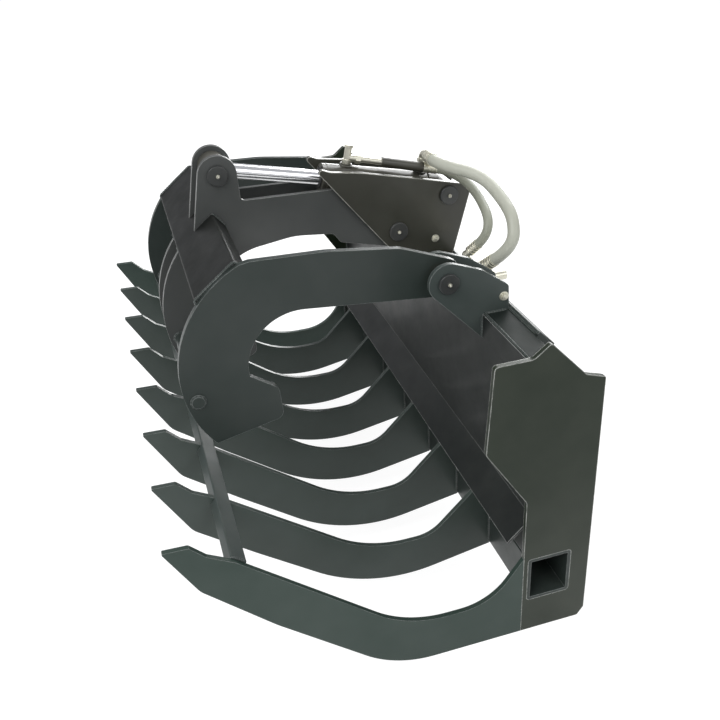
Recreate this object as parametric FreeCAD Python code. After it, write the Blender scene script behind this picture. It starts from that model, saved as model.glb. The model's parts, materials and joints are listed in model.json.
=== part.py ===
import FreeCAD
import Part
import math
import os

# Grapple rake for a skid-steer loader, in millimetres.
# X runs across the width, Y from the tine tips (front, -Y) to the loader (+Y), Z up.
# The origin is on the ground, in the middle of the width and of the length.
# Side outlines are written as (y, z), with y counted from the line of the tine tips.

# Overall sizes
WIDTH = 1524.0
LENGTH = 962.0
TINE_COUNT = 8
PLATE = 12.0
WELD_GAP = 0.1
PIN_GAP = 0.05

# Tines
TIP_HEIGHT = 505.0
TIP_LENGTH = 55.0
TIP_DROP = 36.0
OUTER_ROOT_GAP = 12.0
INNER_HEEL_LIFT = 42.0
HEEL_RUN = 334.0
HEEL_RADIUS = 257.0
THROAT_HEIGHT = 119.0
INNER_THROAT_HEIGHT = 172.0
INNER_THROAT_RUN = 175.0
ROOT_RISE = 109.0
CROSSBAR_Y = 142.0
CROSSBAR_Z = 424.5
CROSSBAR_WIDTH = 38.0
CROSSBAR_DEPTH = 25.0
CROSSBAR_SLOPE = -36.0

# Back frame
BOTTOM_TUBE_Z = 99.0
BOTTOM_TUBE_DEPTH = 110.0
BOTTOM_TUBE_HEIGHT = 127.0
BOTTOM_TUBE_WALL = 8.0
TOP_TUBE_SIZE = 64.0
TOP_TUBE_TOP = 703.0
TUBE_WALL = 6.0
SHEET = 6.0
SHEET_LEAN = 28.0
FLANGE_REACH = 47.0
RIB = 8.0
RIB_SPREAD = 400.0
RIB_INNER = 190.0

# Loader coupler
COUPLER_WIDTH = 1118.0
COUPLER_PLATE = 8.0
LEDGE_REACH = 52.0
HOOK_REACH = 43.0
HOOK_RISE = 9.0
SLOT_INSET = 51.0
SLOT_LENGTH = 64.0
SLOT_WIDTH = 26.0
CHEEK = 8.0

# Jaw
ARM_SPACING = 378.0
ARM_PLATE = 16.0
MID_ARM_OFFSET = 48.0
PIVOT_REACH = 59.0
PIVOT_Z = 800.0
HINGE_RADIUS = 48.0
PIN_RADIUS = 16.0
BUSH_RADIUS = 30.0
BUSH_LENGTH = 60.0
HOOK_RUN = 348.0
HOOK_CENTRE_Z = 655.0
HOOK_OUTER = 290.0
HOOK_INNER = 131.0
MID_HOOK_INNER = 163.0
ARM_TOP = 921.0
MID_ARM_TOP = 945.0
TOE_ANGLE = 218.0
SHOULDER_ANGLE = 128.0
SHOULDER_FACE = 127.0
SHOULDER_DEPTH = 51.0
SHOULDER_PROUD = 0.5
TOE_BAR_RADIUS = 15.0
TOE_BAR_ANGLE = 192.0
TOE_BAR_INSET = 28.0
TOE_BAR_STICK_OUT = 6.0
SIDE_PLAY = 1.0

# Mast and cylinder
MAST_PLAY = 2.0
FOOT_SETBACK = 14.0
FOOT_Z = 878.0
ROD_PIN_RUN = 451.0
ROD_PIN_Z = 1015.0
LUG_RADIUS = 48.0
BARREL_RADIUS = 38.0
BORE_RADIUS = 31.75
ROD_RADIUS = 19.0
BARREL_START = 44.0
BARREL_END = 325.0
GLAND_SPIGOT = 30.0
GLAND_FLANGE = 12.0
ROD_RETRACT = 126.0
PISTON_MARGIN = 2.0
PISTON_LENGTH = 44.0
SEAL_GROOVE = 3.0
SEAL_WIDTH = 10.0
EYE_RADIUS = 36.0
EYE_PLAY = 10.0
BASE_EYE_RADIUS = 32.0
PORT_RADIUS = 15.0
PORT_HEIGHT = 24.0
FRONT_PORT_HEIGHT = 6.0
FRONT_LINE_LIFT = 14.0
FRONT_COLUMN = 48.0
PORT_BORE = 7.0
BACK_PORT = 66.0
FRONT_PORT = 272.0

# Pins
PIN_HEAD_RADIUS = 25.0
PIN_HEAD = 8.0
COLLAR_RADIUS = 24.0
COLLAR_LENGTH = 18.0
BOLT_RADIUS = 4.0
BOLT_FLATS = 13.0
BOLT_HEAD = 5.3

# Hoses
INNER_HOSE_RADIUS = 12.0
OUTER_HOSE_RADIUS = 15.0
FERRULE_WALL = 1.5
FERRULE_LENGTH = 36.0
ELBOW_RADIUS = 10.0
ELBOW_BEND = 15.0
PORT_LINE_RADIUS = 8.0
PORT_LINE_LENGTH = 168.0
PORT_LINE_SPLAY = 0.155
LINE_GUARD_RADIUS = 13.0
LINE_GUARD_START = 56.0
BLOCK_X = 252.0
BLOCK_WIDTH = 156.0
BLOCK_DEPTH = 58.0
BLOCK_HEIGHT = 44.0
BLOCK_PORTS = 94.0
BLOCK_PORT_SETBACK = 40.6
COUPLER_TIP_RADIUS = 13.0
COUPLER_TIP_LENGTH = 40.0
COUPLER_NUT = 24.0
COUPLER_TIP_RISE = 28.0

# Places worked out from the sizes above
HALF = WIDTH / 2
MID_Y = LENGTH / 2
TINE_PITCH = (WIDTH - PLATE) / (TINE_COUNT - 1)
INSIDE = HALF - PLATE
BOTTOM_TUBE_TOP = BOTTOM_TUBE_Z + BOTTOM_TUBE_HEIGHT
COUPLER_BACK = LENGTH - LEDGE_REACH
COUPLER_FRONT = COUPLER_BACK - COUPLER_PLATE
TOP_TUBE_FRONT = COUPLER_FRONT - TOP_TUBE_SIZE
TOP_TUBE_UNDER = TOP_TUBE_TOP - TOP_TUBE_SIZE
SHEET_TOP_FRONT = TOP_TUBE_FRONT - SHEET
BOTTOM_TUBE_Y = SHEET_TOP_FRONT - SHEET_LEAN
OUTER_ROOT_Y = BOTTOM_TUBE_Y - OUTER_ROOT_GAP
HEEL_Y = BOTTOM_TUBE_Y - HEEL_RUN
PIVOT_Y = BOTTOM_TUBE_Y - PIVOT_REACH
HOOK_CENTRE_Y = PIVOT_Y - HOOK_RUN
ROD_PIN_Y = PIVOT_Y - ROD_PIN_RUN
FOOT_Y = COUPLER_FRONT - FOOT_SETBACK
SLOT_SPACING = COUPLER_WIDTH - 2 * SLOT_INSET
LEDGE_TOP = BOTTOM_TUBE_TOP + COUPLER_PLATE
MID_ARM_OUTSIDE = MID_ARM_OFFSET + PLATE / 2
MID_ARM_INSIDE = MID_ARM_OFFSET - PLATE / 2
MAST_X = MID_ARM_OUTSIDE + MAST_PLAY + PLATE / 2
EAR_OFFSET = BUSH_LENGTH / 2 + SIDE_PLAY + PLATE / 2
STROKE_Y = ROD_PIN_Y - FOOT_Y
STROKE_Z = ROD_PIN_Z - FOOT_Z
ROD_LENGTH = math.hypot(STROKE_Y, STROKE_Z)
PISTON_BACK = BARREL_START + ROD_RETRACT + PISTON_MARGIN


def at(x, y, z):
    """A point of the model from its side place, y counted from the tips."""
    return FreeCAD.Vector(x, y - MID_Y, z)


def polar(centre, radius, degrees):
    """The (y, z) point at an angle on a circle of the side view."""
    turn = math.radians(degrees)
    return centre[0] + radius * math.cos(turn), centre[1] + radius * math.sin(turn)


def rounded(corners):
    """Turn corners (y, z) or (y, z, radius) into pieces of an outline."""
    pieces = []
    count = len(corners)
    for index, corner in enumerate(corners):
        here = FreeCAD.Vector(0, corner[0], corner[1])
        radius = corner[2] if len(corner) > 2 else 0
        if not radius:
            pieces.append((here,))
            continue
        before = corners[index - 1]
        after = corners[(index + 1) % count]
        back = (FreeCAD.Vector(0, before[0], before[1]) - here).normalize()
        ahead = (FreeCAD.Vector(0, after[0], after[1]) - here).normalize()
        half = back.getAngle(ahead) / 2
        reach = radius / math.tan(half)
        bisector = (back + ahead).normalize()
        middle = here + bisector * (radius / math.sin(half) - radius)
        pieces.append((here + back * reach, middle, here + ahead * reach))
    return pieces


def outline_face(pieces, x):
    """A face at x from outline pieces: single points, or arcs of three points."""
    edges = []
    count = len(pieces)
    for index, piece in enumerate(pieces):
        points = [at(x, point.y, point.z) for point in piece]
        if len(points) == 3:
            edges.append(Part.Arc(points[0], points[1], points[2]).toShape())
        following = pieces[(index + 1) % count][0]
        target = at(x, following.y, following.z)
        if (target - points[-1]).Length > 1e-6:
            edges.append(Part.LineSegment(points[-1], target).toShape())
    return Part.Face(Part.Wire(edges))


def plate(pieces, x_middle, thickness):
    """A flat plate with a side outline, centred on x_middle."""
    face = outline_face(pieces, x_middle - thickness / 2)
    return face.extrude(FreeCAD.Vector(thickness, 0, 0))


def arc_piece(centre, radius, start, end):
    """An outline piece that follows a circle from one angle to another."""
    points = []
    for degrees in (start, (start + end) / 2, end):
        y, z = polar(centre, radius, degrees)
        points.append(FreeCAD.Vector(0, y, z))
    return tuple(points)


def cross_rod(y, z, radius, x_start, x_end):
    """A round bar along X at a place of the side view."""
    axis = FreeCAD.Vector(1, 0, 0)
    return Part.makeCylinder(radius, x_end - x_start, at(x_start, y, z), axis)


def cross_box(y, z, depth, height, x_start, x_end):
    """A straight box along X, from its lower front corner."""
    return Part.makeBox(x_end - x_start, depth, height, at(x_start, y, z))


def cross_tube(y, z, depth, height, wall, x_start, x_end):
    """A rectangular tube along X, open at both ends."""
    outside = cross_box(y, z, depth, height, x_start, x_end)
    inside = cross_box(y + wall, z + wall, depth - 2 * wall, height - 2 * wall, x_start - 1, x_end + 1)
    outside = rounded_along_x(outside, wall)
    return outside.cut(inside)


def rounded_along_x(solid, radius):
    """The solid with its long edges along X rounded."""
    long_edges = []
    for edge in solid.Edges:
        direction = edge.Vertexes[1].Point - edge.Vertexes[0].Point
        if abs(direction.y) < 1e-6 and abs(direction.z) < 1e-6:
            long_edges.append(edge)
    return solid.makeFillet(radius, long_edges)


def turned_about_x(solid, y, z, degrees):
    """A copy turned about the X line through a side place."""
    turned = solid.copy()
    turned.rotate(at(0, y, z), FreeCAD.Vector(1, 0, 0), degrees)
    return turned


def hexagon(centre, axis, flats, length):
    """A hexagonal prism that starts at centre and runs along axis."""
    corner = flats / math.sqrt(3)
    ring = []
    for index in range(7):
        turn = math.radians(60 * index)
        ring.append(FreeCAD.Vector(corner * math.cos(turn), corner * math.sin(turn), 0))
    prism = Part.Face(Part.makePolygon(ring)).extrude(FreeCAD.Vector(0, 0, length))
    spin = FreeCAD.Rotation(FreeCAD.Vector(0, 0, 1), axis)
    prism.Placement = FreeCAD.Placement(centre, spin)
    return prism


def save(name, shape):
    """Write one named piece, or a group of like pieces."""
    solids = shape if isinstance(shape, list) else [shape]
    parts = []
    for solid in solids:
        parts.extend(solid.Solids)
    result = parts[0] if len(parts) == 1 else Part.makeCompound(parts)
    if not result.isValid():
        print("not valid:", name)
    result.exportStep("parts/%s.step" % name)
    print("%-24s %d solid, %.0f cm3" % (name, len(parts), result.Volume / 1000))


def tip_corners():
    """The chisel tip that every tine has, from its point to the crossbar."""
    return [
        (0, TIP_HEIGHT, 3),
        (TIP_LENGTH, TIP_HEIGHT - 2, 8),
        (TIP_LENGTH + 32, TIP_HEIGHT - TIP_DROP, 12),
        (CROSSBAR_Y, CROSSBAR_Z + CROSSBAR_DEPTH / 2, 30),
    ]


def outer_tine(x):
    """An outer tine: deep, flat underneath, butted against its end plate."""
    corners = tip_corners() + [
        (HEEL_Y + 36, THROAT_HEIGHT, 262),
        (OUTER_ROOT_Y - 82, THROAT_HEIGHT, 140),
        (OUTER_ROOT_Y, THROAT_HEIGHT + 114),
        (OUTER_ROOT_Y, 0),
        (HEEL_Y + 2, 0, HEEL_RADIUS),
        (206, 236, 400),
        (61, 384, 60),
    ]
    return plate(rounded(corners), x, PLATE)


def sheet_front(z):
    """How far back the front face of the back sheet stands at a height."""
    share = (z - BOTTOM_TUBE_TOP) / (TOP_TUBE_UNDER - BOTTOM_TUBE_TOP)
    return BOTTOM_TUBE_Y + SHEET_LEAN * min(max(share, 0), 1)


def root_line():
    """The lower and upper end of the straight edge at an inner tine's root."""
    root_top = BOTTOM_TUBE_TOP + ROOT_RISE
    return (HEEL_Y + INNER_THROAT_RUN, INNER_THROAT_HEIGHT), (sheet_front(root_top), root_top)


def inner_tine(x, crossbar):
    """An inner tine: shallower, notched for the crossbar, seated on tube and sheet."""
    low, high = root_line()
    corners = tip_corners() + [
        (HEEL_Y + 12, INNER_THROAT_HEIGHT, 285),
        (low[0], low[1], 92),
        high,
        (BOTTOM_TUBE_Y, BOTTOM_TUBE_TOP),
        (BOTTOM_TUBE_Y, BOTTOM_TUBE_Z),
        (HEEL_Y + 11, INNER_HEEL_LIFT, 390),
        (205, 257, 250),
        (72, 366, 60),
    ]
    return plate(rounded(corners), x, PLATE).cut(crossbar)


def crossbar_solid():
    """The flat crossbar in the notches behind the tips."""
    bar = cross_box(
        CROSSBAR_Y - CROSSBAR_WIDTH / 2, CROSSBAR_Z - CROSSBAR_DEPTH / 2,
        CROSSBAR_WIDTH, CROSSBAR_DEPTH, -INSIDE, INSIDE)
    bar = rounded_along_x(bar, 3)
    return turned_about_x(bar, CROSSBAR_Y, CROSSBAR_Z, CROSSBAR_SLOPE)


def end_plate(side):
    """An end plate with its ear, its slanted lip and the window for the bottom tube."""
    ear_top = TOP_TUBE_TOP + 67
    lip_foot = COUPLER_BACK + 6
    corners = [
        (OUTER_ROOT_Y, 0),
        (LENGTH - 16, 0, 6),
        (LENGTH, 24, 8),
        (LENGTH, TOP_TUBE_TOP - 11, 5),
        (lip_foot, TOP_TUBE_TOP + 4, 8),
        (lip_foot - 86, ear_top + 30, 8),
        (OUTER_ROOT_Y, ear_top, 20),
        (PIVOT_Y - 39, ear_top, 8),
        (PIVOT_Y - 54, 557, 15),
        (OUTER_ROOT_Y, 400, 20),
    ]
    body = plate(rounded(corners), side * (HALF - PLATE / 2), PLATE)
    window = cross_box(
        BOTTOM_TUBE_Y, BOTTOM_TUBE_Z, BOTTOM_TUBE_DEPTH, BOTTOM_TUBE_HEIGHT, -HALF - 1, HALF + 1)
    return body.cut(rounded_along_x(window, BOTTOM_TUBE_WALL))


def back_sheet():
    """The sheet behind the tines, with a flange that lies on the tines' roots."""
    low, high = root_line()
    slope = math.atan2(high[1] - low[1], high[0] - low[0])
    run, rise = math.cos(slope), math.sin(slope)
    reach = (high[0] - BOTTOM_TUBE_Y + FLANGE_REACH) / run
    tip = (high[0] - reach * run, high[1] - reach * rise)
    top = (high[0] - SHEET * rise, high[1] + SHEET * run)
    lean = SHEET_LEAN / (TOP_TUBE_UNDER - BOTTOM_TUBE_TOP)
    step = (sheet_front(top[1]) - top[0]) / (run - lean * rise)
    corners = [
        (BOTTOM_TUBE_Y, BOTTOM_TUBE_TOP),
        high,
        tip,
        (tip[0] - SHEET * rise, tip[1] + SHEET * run),
        (top[0] + step * run, top[1] + step * rise),
        (SHEET_TOP_FRONT, TOP_TUBE_UNDER),
        (SHEET_TOP_FRONT, TOP_TUBE_TOP),
        (TOP_TUBE_FRONT, TOP_TUBE_TOP),
        (TOP_TUBE_FRONT, TOP_TUBE_UNDER),
        (BOTTOM_TUBE_Y + SHEET, BOTTOM_TUBE_TOP),
    ]
    return plate(rounded(corners), 0, 2 * INSIDE)


def back_rib(x):
    """A rib between the back sheet and the coupler plate."""
    corners = [
        (BOTTOM_TUBE_Y + SHEET, BOTTOM_TUBE_TOP),
        (TOP_TUBE_FRONT, TOP_TUBE_UNDER),
        (COUPLER_FRONT, TOP_TUBE_UNDER),
        (COUPLER_FRONT, BOTTOM_TUBE_TOP),
    ]
    return plate(rounded(corners), x, RIB)


def coupler_corners():
    """The coupler's bent section: ledge, upright and hook."""
    ridge = TOP_TUBE_TOP + HOOK_RISE
    return [
        (COUPLER_FRONT, BOTTOM_TUBE_TOP),
        (COUPLER_FRONT, ridge - 4),
        (COUPLER_FRONT + 6, ridge, 3),
        (COUPLER_FRONT + 6 + HOOK_REACH, ridge - HOOK_REACH),
        (COUPLER_FRONT + HOOK_REACH, ridge - HOOK_REACH - 6),
        (COUPLER_BACK, TOP_TUBE_TOP - 5, 6),
        (COUPLER_BACK, LEDGE_TOP),
        (LENGTH, LEDGE_TOP),
        (LENGTH, BOTTOM_TUBE_TOP),
    ]


def coupler_plate():
    """The plate that the loader's quick coupler takes hold of."""
    body = plate(rounded(coupler_corners()), 0, COUPLER_WIDTH)
    slot_y = (COUPLER_BACK + LENGTH) / 2
    half_run = (SLOT_LENGTH - SLOT_WIDTH) / 2
    for side in (-1, 1):
        centre = side * SLOT_SPACING / 2
        box = Part.makeBox(
            2 * half_run, SLOT_WIDTH, 3 * COUPLER_PLATE,
            at(centre - half_run, slot_y - SLOT_WIDTH / 2, BOTTOM_TUBE_TOP - COUPLER_PLATE))
        body = body.cut(box)
        for end in (-1, 1):
            hole = Part.makeCylinder(
                SLOT_WIDTH / 2, 3 * COUPLER_PLATE,
                at(centre + end * half_run, slot_y, BOTTOM_TUBE_TOP - COUPLER_PLATE))
            body = body.cut(hole)
    return body


def coupler_cheek(side):
    """The cheek that closes one end of the coupler."""
    ridge = TOP_TUBE_TOP + HOOK_RISE
    corners = [
        (COUPLER_FRONT, BOTTOM_TUBE_TOP),
        (LENGTH, BOTTOM_TUBE_TOP),
        (LENGTH, LEDGE_TOP + 18, 6),
        (COUPLER_BACK + 16, LEDGE_TOP + 60, 20),
        (COUPLER_BACK + 16, TOP_TUBE_UNDER, 20),
        (COUPLER_FRONT + 6 + HOOK_REACH, ridge - HOOK_REACH - 8, 4),
        (COUPLER_FRONT + 6, ridge, 3),
        (COUPLER_FRONT, ridge - 4),
    ]
    return plate(rounded(corners), side * (COUPLER_WIDTH + CHEEK) / 2, CHEEK)


def hinge_ear(x):
    """A hinge ear, seated on the top tube and the back sheet."""
    corners = [
        (SHEET_TOP_FRONT, TOP_TUBE_UNDER),
        (SHEET_TOP_FRONT, TOP_TUBE_TOP),
        (COUPLER_FRONT - 2, TOP_TUBE_TOP),
        (COUPLER_FRONT - 4, TOP_TUBE_TOP + 65, 12),
        (PIVOT_Y + 85, PIVOT_Z + 18, 40),
        polar((PIVOT_Y, PIVOT_Z), HINGE_RADIUS, 66),
        polar((PIVOT_Y, PIVOT_Z), HINGE_RADIUS, 216),
    ]
    body = plate(rounded(corners), x, PLATE)
    disc = cross_rod(PIVOT_Y, PIVOT_Z, HINGE_RADIUS, x - PLATE / 2, x + PLATE / 2)
    bore = cross_rod(PIVOT_Y, PIVOT_Z, PIN_RADIUS + PIN_GAP, x - PLATE, x + PLATE)
    return body.fuse(disc).removeSplitter().cut(bore)


def mast_plate(side):
    """A mast plate: carries the middle hinge pin and the cylinder's foot pin."""
    x = side * MAST_X
    corners = [
        (SHEET_TOP_FRONT, TOP_TUBE_UNDER),
        (SHEET_TOP_FRONT, TOP_TUBE_TOP),
        (COUPLER_FRONT - 4, TOP_TUBE_TOP),
        (FOOT_Y + 66, FOOT_Z + 18, 16),
        (FOOT_Y - 77, FOOT_Z + 55, 200),
        (FOOT_Y - 237, FOOT_Z + 94, 200),
        (FOOT_Y - 315, FOOT_Z + 107, 40),
        (FOOT_Y - 362, FOOT_Z + 127, 8),
        polar((PIVOT_Y, PIVOT_Z), HINGE_RADIUS, 217),
        polar((PIVOT_Y, PIVOT_Z), HINGE_RADIUS, 224),
    ]
    body = plate(rounded(corners), x, PLATE)
    disc = cross_rod(PIVOT_Y, PIVOT_Z, HINGE_RADIUS, x - PLATE / 2, x + PLATE / 2)
    body = body.fuse(disc).removeSplitter()
    for y, z in ((PIVOT_Y, PIVOT_Z), (FOOT_Y, FOOT_Z)):
        body = body.cut(cross_rod(y, z, PIN_RADIUS + PIN_GAP, x - PLATE, x + PLATE))
    return body


def tangent_angle(centre, radius, point, side):
    """Where on a circle the tangent from a point touches, in degrees."""
    away = math.degrees(math.atan2(point[1] - centre[1], point[0] - centre[0]))
    reach = math.hypot(point[0] - centre[0], point[1] - centre[1])
    return away + side * math.degrees(math.acos(radius / reach))


def toe_pieces(hook, inner):
    """The blunt toe of a jaw arm, from its outside to its inside circle."""
    toe_y, toe_z = polar(hook, HOOK_OUTER, TOE_ANGLE)
    corners = rounded([
        (toe_y, toe_z),
        (toe_y + 167, toe_z + 36, 22),
        (toe_y + 162, toe_z + 118, 22),
        polar(hook, inner, 187),
    ])
    return corners[1:3]


def outer_arm_pieces():
    """The outline of an outer jaw arm: a nearly flat back and a round hook."""
    hook = (HOOK_CENTRE_Y, HOOK_CENTRE_Z)
    pivot = (PIVOT_Y, PIVOT_Z)
    shoulder = (PIVOT_Y - 103, ARM_TOP - 29)
    top = tangent_angle(pivot, HINGE_RADIUS, shoulder, -1)
    reach = math.hypot(pivot[0] - hook[0], pivot[1] - hook[1])
    lean = math.degrees(math.atan2(pivot[1] - hook[1], pivot[0] - hook[0]))
    under = lean + math.degrees(math.acos((HOOK_INNER + HINGE_RADIUS) / reach))
    back = rounded([
        polar(pivot, HINGE_RADIUS, top),
        (shoulder[0], shoulder[1], 90),
        (HOOK_CENTRE_Y + 73, ARM_TOP - 6, 300),
        (HOOK_CENTRE_Y - 99, ARM_TOP + 1, 40),
        polar(hook, HOOK_OUTER, 115),
    ])
    pieces = back[1:4]
    pieces.append(arc_piece(hook, HOOK_OUTER, 115, TOE_ANGLE))
    pieces.extend(toe_pieces(hook, HOOK_INNER))
    pieces.append(arc_piece(hook, HOOK_INNER, 187, under))
    pieces.append(arc_piece(pivot, HINGE_RADIUS, under - 180, top))
    return pieces


def middle_arm_pieces():
    """The outline of a middle jaw arm: slimmer, with a round lug for the rod's pin."""
    hook = (HOOK_CENTRE_Y, HOOK_CENTRE_Z)
    pivot = (PIVOT_Y, PIVOT_Z)
    lug = (ROD_PIN_Y, ROD_PIN_Z)
    drop = (PIVOT_Y - 145, MID_ARM_TOP - 10)
    step = (PIVOT_Y - 155, PIVOT_Z - 10)
    top = tangent_angle(pivot, HINGE_RADIUS, drop, -1)
    under = tangent_angle(pivot, HINGE_RADIUS, step, 1)
    lug_foot = polar(hook, HOOK_OUTER, 128)
    lug_front = tangent_angle(lug, LUG_RADIUS, lug_foot, -1) + 360
    back = rounded([
        polar(pivot, HINGE_RADIUS, top),
        (drop[0], drop[1], 60),
        (ROD_PIN_Y + LUG_RADIUS + 1, MID_ARM_TOP - 2, 12),
        polar(lug, LUG_RADIUS, 0),
    ])
    belly = rounded([
        polar(hook, MID_HOOK_INNER, 95),
        (HOOK_CENTRE_Y + 72, HOOK_CENTRE_Z + 174, 200),
        (PIVOT_Y - 173, PIVOT_Z + 17, 14),
        (step[0], step[1], 14),
        polar(pivot, HINGE_RADIUS, under),
    ])
    pieces = back[1:3]
    pieces.append(arc_piece(lug, LUG_RADIUS, 0, lug_front))
    pieces.append(arc_piece(hook, HOOK_OUTER, 128, TOE_ANGLE))
    pieces.extend(toe_pieces(hook, MID_HOOK_INNER))
    pieces.append(arc_piece(hook, MID_HOOK_INNER, 187, 95))
    pieces.extend(belly[1:4])
    pieces.append(arc_piece(pivot, HINGE_RADIUS, under, top))
    return pieces


def shoulder_outside():
    """The outer shape of the shoulder tube, between the outer arms."""
    y, z = polar(
        (HOOK_CENTRE_Y, HOOK_CENTRE_Z),
        HOOK_OUTER + SHOULDER_PROUD - SHOULDER_DEPTH / 2, SHOULDER_ANGLE)
    end = ARM_SPACING - ARM_PLATE / 2
    outside = cross_box(y - SHOULDER_DEPTH / 2, z - SHOULDER_FACE / 2, SHOULDER_DEPTH, SHOULDER_FACE, -end, end)
    inside = cross_box(
        y - SHOULDER_DEPTH / 2 + TUBE_WALL, z - SHOULDER_FACE / 2 + TUBE_WALL,
        SHOULDER_DEPTH - 2 * TUBE_WALL, SHOULDER_FACE - 2 * TUBE_WALL, -end - 1, end + 1)
    outside = rounded_along_x(outside, TUBE_WALL)
    outside = turned_about_x(outside, y, z, SHOULDER_ANGLE)
    inside = turned_about_x(inside, y, z, SHOULDER_ANGLE)
    return outside, outside.cut(inside)


def toe_bar_place():
    """Where the round toe bar passes through the arms."""
    return polar((HOOK_CENTRE_Y, HOOK_CENTRE_Z), HOOK_OUTER - TOE_BAR_INSET, TOE_BAR_ANGLE)


def jaw_arm(x, thickness, lug, shoulder):
    """A jaw arm with its holes and, on a middle arm, its notch and lug."""
    outline = middle_arm_pieces() if lug else outer_arm_pieces()
    body = plate(outline, x, thickness)
    toe_y, toe_z = toe_bar_place()
    holes = [
        (PIVOT_Y, PIVOT_Z, BUSH_RADIUS + WELD_GAP),
        (toe_y, toe_z, TOE_BAR_RADIUS + WELD_GAP),
    ]
    if lug:
        holes.append((ROD_PIN_Y, ROD_PIN_Z, PIN_RADIUS + PIN_GAP))
        body = body.cut(shoulder)
    for y, z, radius in holes:
        body = body.cut(cross_rod(y, z, radius, x - thickness, x + thickness))
    return body


def bush(x_start, x_end):
    """A hinge bush with its running bore."""
    outside = cross_rod(PIVOT_Y, PIVOT_Z, BUSH_RADIUS, x_start, x_end)
    return outside.cut(cross_rod(PIVOT_Y, PIVOT_Z, PIN_RADIUS + PIN_GAP, x_start - 1, x_end + 1))


def nipple(x):
    """A grease nipple on a hinge bush, pointing down and forward."""
    y, z = polar((PIVOT_Y, PIVOT_Z), BUSH_RADIUS - 1, 235)
    out_y, out_z = polar((0, 0), 1, 235)
    axis = FreeCAD.Vector(0, out_y, out_z)
    foot = at(x, y, z)
    stem = Part.makeCylinder(3.5, 7, foot, axis)
    nose = Part.makeCone(3.2, 1.8, 6, foot + axis * 7, axis)
    return stem.fuse(nose).cut(cross_rod(PIVOT_Y, PIVOT_Z, BUSH_RADIUS, x - 10, x + 10))


def headed_pin(y, z, x_head, x_tail, side):
    """A pin with a head at x_head, a cross hole near x_tail, running along -side."""
    start = min(x_head, x_tail)
    end = max(x_head, x_tail)
    shank = cross_rod(y, z, PIN_RADIUS, start, end)
    head_start = x_head if side > 0 else x_head - PIN_HEAD
    head = cross_rod(y, z, PIN_HEAD_RADIUS, head_start, head_start + PIN_HEAD)
    rim = [edge for edge in head.Edges if len(edge.Vertexes) == 1]
    head = head.makeFillet(2, rim)
    return shank.fuse(head).removeSplitter().cut(bolt_hole(y, z, x_tail + side * COLLAR_LENGTH / 2))


def bolt_hole(y, z, x):
    """The cross hole through a pin and its collar."""
    length = 4 * COLLAR_RADIUS
    return Part.makeCylinder(BOLT_RADIUS + WELD_GAP, length, at(x, y, z - length / 2))


def collar(y, z, x_tail, side):
    """The collar that holds a pin at its tail."""
    start = min(x_tail, x_tail + side * COLLAR_LENGTH)
    ring = cross_rod(y, z, COLLAR_RADIUS, start, start + COLLAR_LENGTH)
    ring = ring.cut(cross_rod(y, z, PIN_RADIUS + PIN_GAP, start - 1, start + COLLAR_LENGTH + 1))
    return ring.cut(bolt_hole(y, z, x_tail + side * COLLAR_LENGTH / 2))


def cross_bolt(y, z, x_tail, side):
    """The bolt through a collar and pin, with its nut."""
    x = x_tail + side * COLLAR_LENGTH / 2
    up = FreeCAD.Vector(0, 0, 1)
    grip = 2 * COLLAR_RADIUS
    shank = Part.makeCylinder(BOLT_RADIUS, grip + 2 * BOLT_HEAD, at(x, y, z - grip / 2 - BOLT_HEAD), up)
    head = hexagon(at(x, y, z + grip / 2), up, BOLT_FLATS, BOLT_HEAD)
    nut = hexagon(at(x, y, z - grip / 2 - BOLT_HEAD), up, BOLT_FLATS, BOLT_HEAD)
    return shank.fuse([head, nut]).removeSplitter()


def along(distance, lift, x=0.0):
    """A point at a distance from the foot pin along the cylinder, lifted off its axis."""
    run_y = STROKE_Y / ROD_LENGTH
    run_z = STROKE_Z / ROD_LENGTH
    return at(x, FOOT_Y + run_y * distance - run_z * lift * -1, FOOT_Z + run_z * distance - run_y * lift)


def cylinder_axis():
    """The direction from the foot pin to the rod's pin."""
    return FreeCAD.Vector(0, STROKE_Y / ROD_LENGTH, STROKE_Z / ROD_LENGTH)


def cylinder_up():
    """The direction square to the cylinder, upwards."""
    return FreeCAD.Vector(0, STROKE_Z / ROD_LENGTH, -STROKE_Y / ROD_LENGTH)


def round_run(radius, start, end):
    """A round solid on the cylinder's axis between two distances from the foot."""
    return Part.makeCylinder(radius, end - start, along(start, 0), cylinder_axis())


def barrel_tube():
    """The honed tube of the cylinder, with its two port holes."""
    tube = round_run(BARREL_RADIUS, BARREL_START, BARREL_END)
    tube = tube.cut(round_run(BORE_RADIUS, BARREL_START - 1, BARREL_END + 1))
    for distance in (BACK_PORT, FRONT_PORT):
        tube = tube.cut(Part.makeCylinder(PORT_BORE, 2 * BARREL_RADIUS, along(distance, 0), cylinder_up()))
    return tube


def barrel_base():
    """The base cap with the eye for the foot pin."""
    eye_half = MAST_X - PLATE / 2 - MAST_PLAY
    cap = round_run(BARREL_RADIUS, 0, BARREL_START)
    eye = cross_rod(FOOT_Y, FOOT_Z, BASE_EYE_RADIUS, -eye_half, eye_half)
    body = cap.common(round_run(BARREL_RADIUS, BASE_EYE_RADIUS / 2, BARREL_START)).fuse(eye).removeSplitter()
    return body.cut(cross_rod(FOOT_Y, FOOT_Z, PIN_RADIUS + PIN_GAP, -eye_half - 1, eye_half + 1))


def barrel_gland():
    """The gland: a spigot in the tube and a flange on its end."""
    spigot = round_run(BORE_RADIUS - WELD_GAP, BARREL_END - GLAND_SPIGOT, BARREL_END)
    flange = round_run(BARREL_RADIUS - 1, BARREL_END, BARREL_END + GLAND_FLANGE)
    bore = round_run(ROD_RADIUS + PIN_GAP, BARREL_END - GLAND_SPIGOT - 1, BARREL_END + GLAND_FLANGE + 1)
    return spigot.fuse(flange).removeSplitter().cut(bore)


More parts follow.
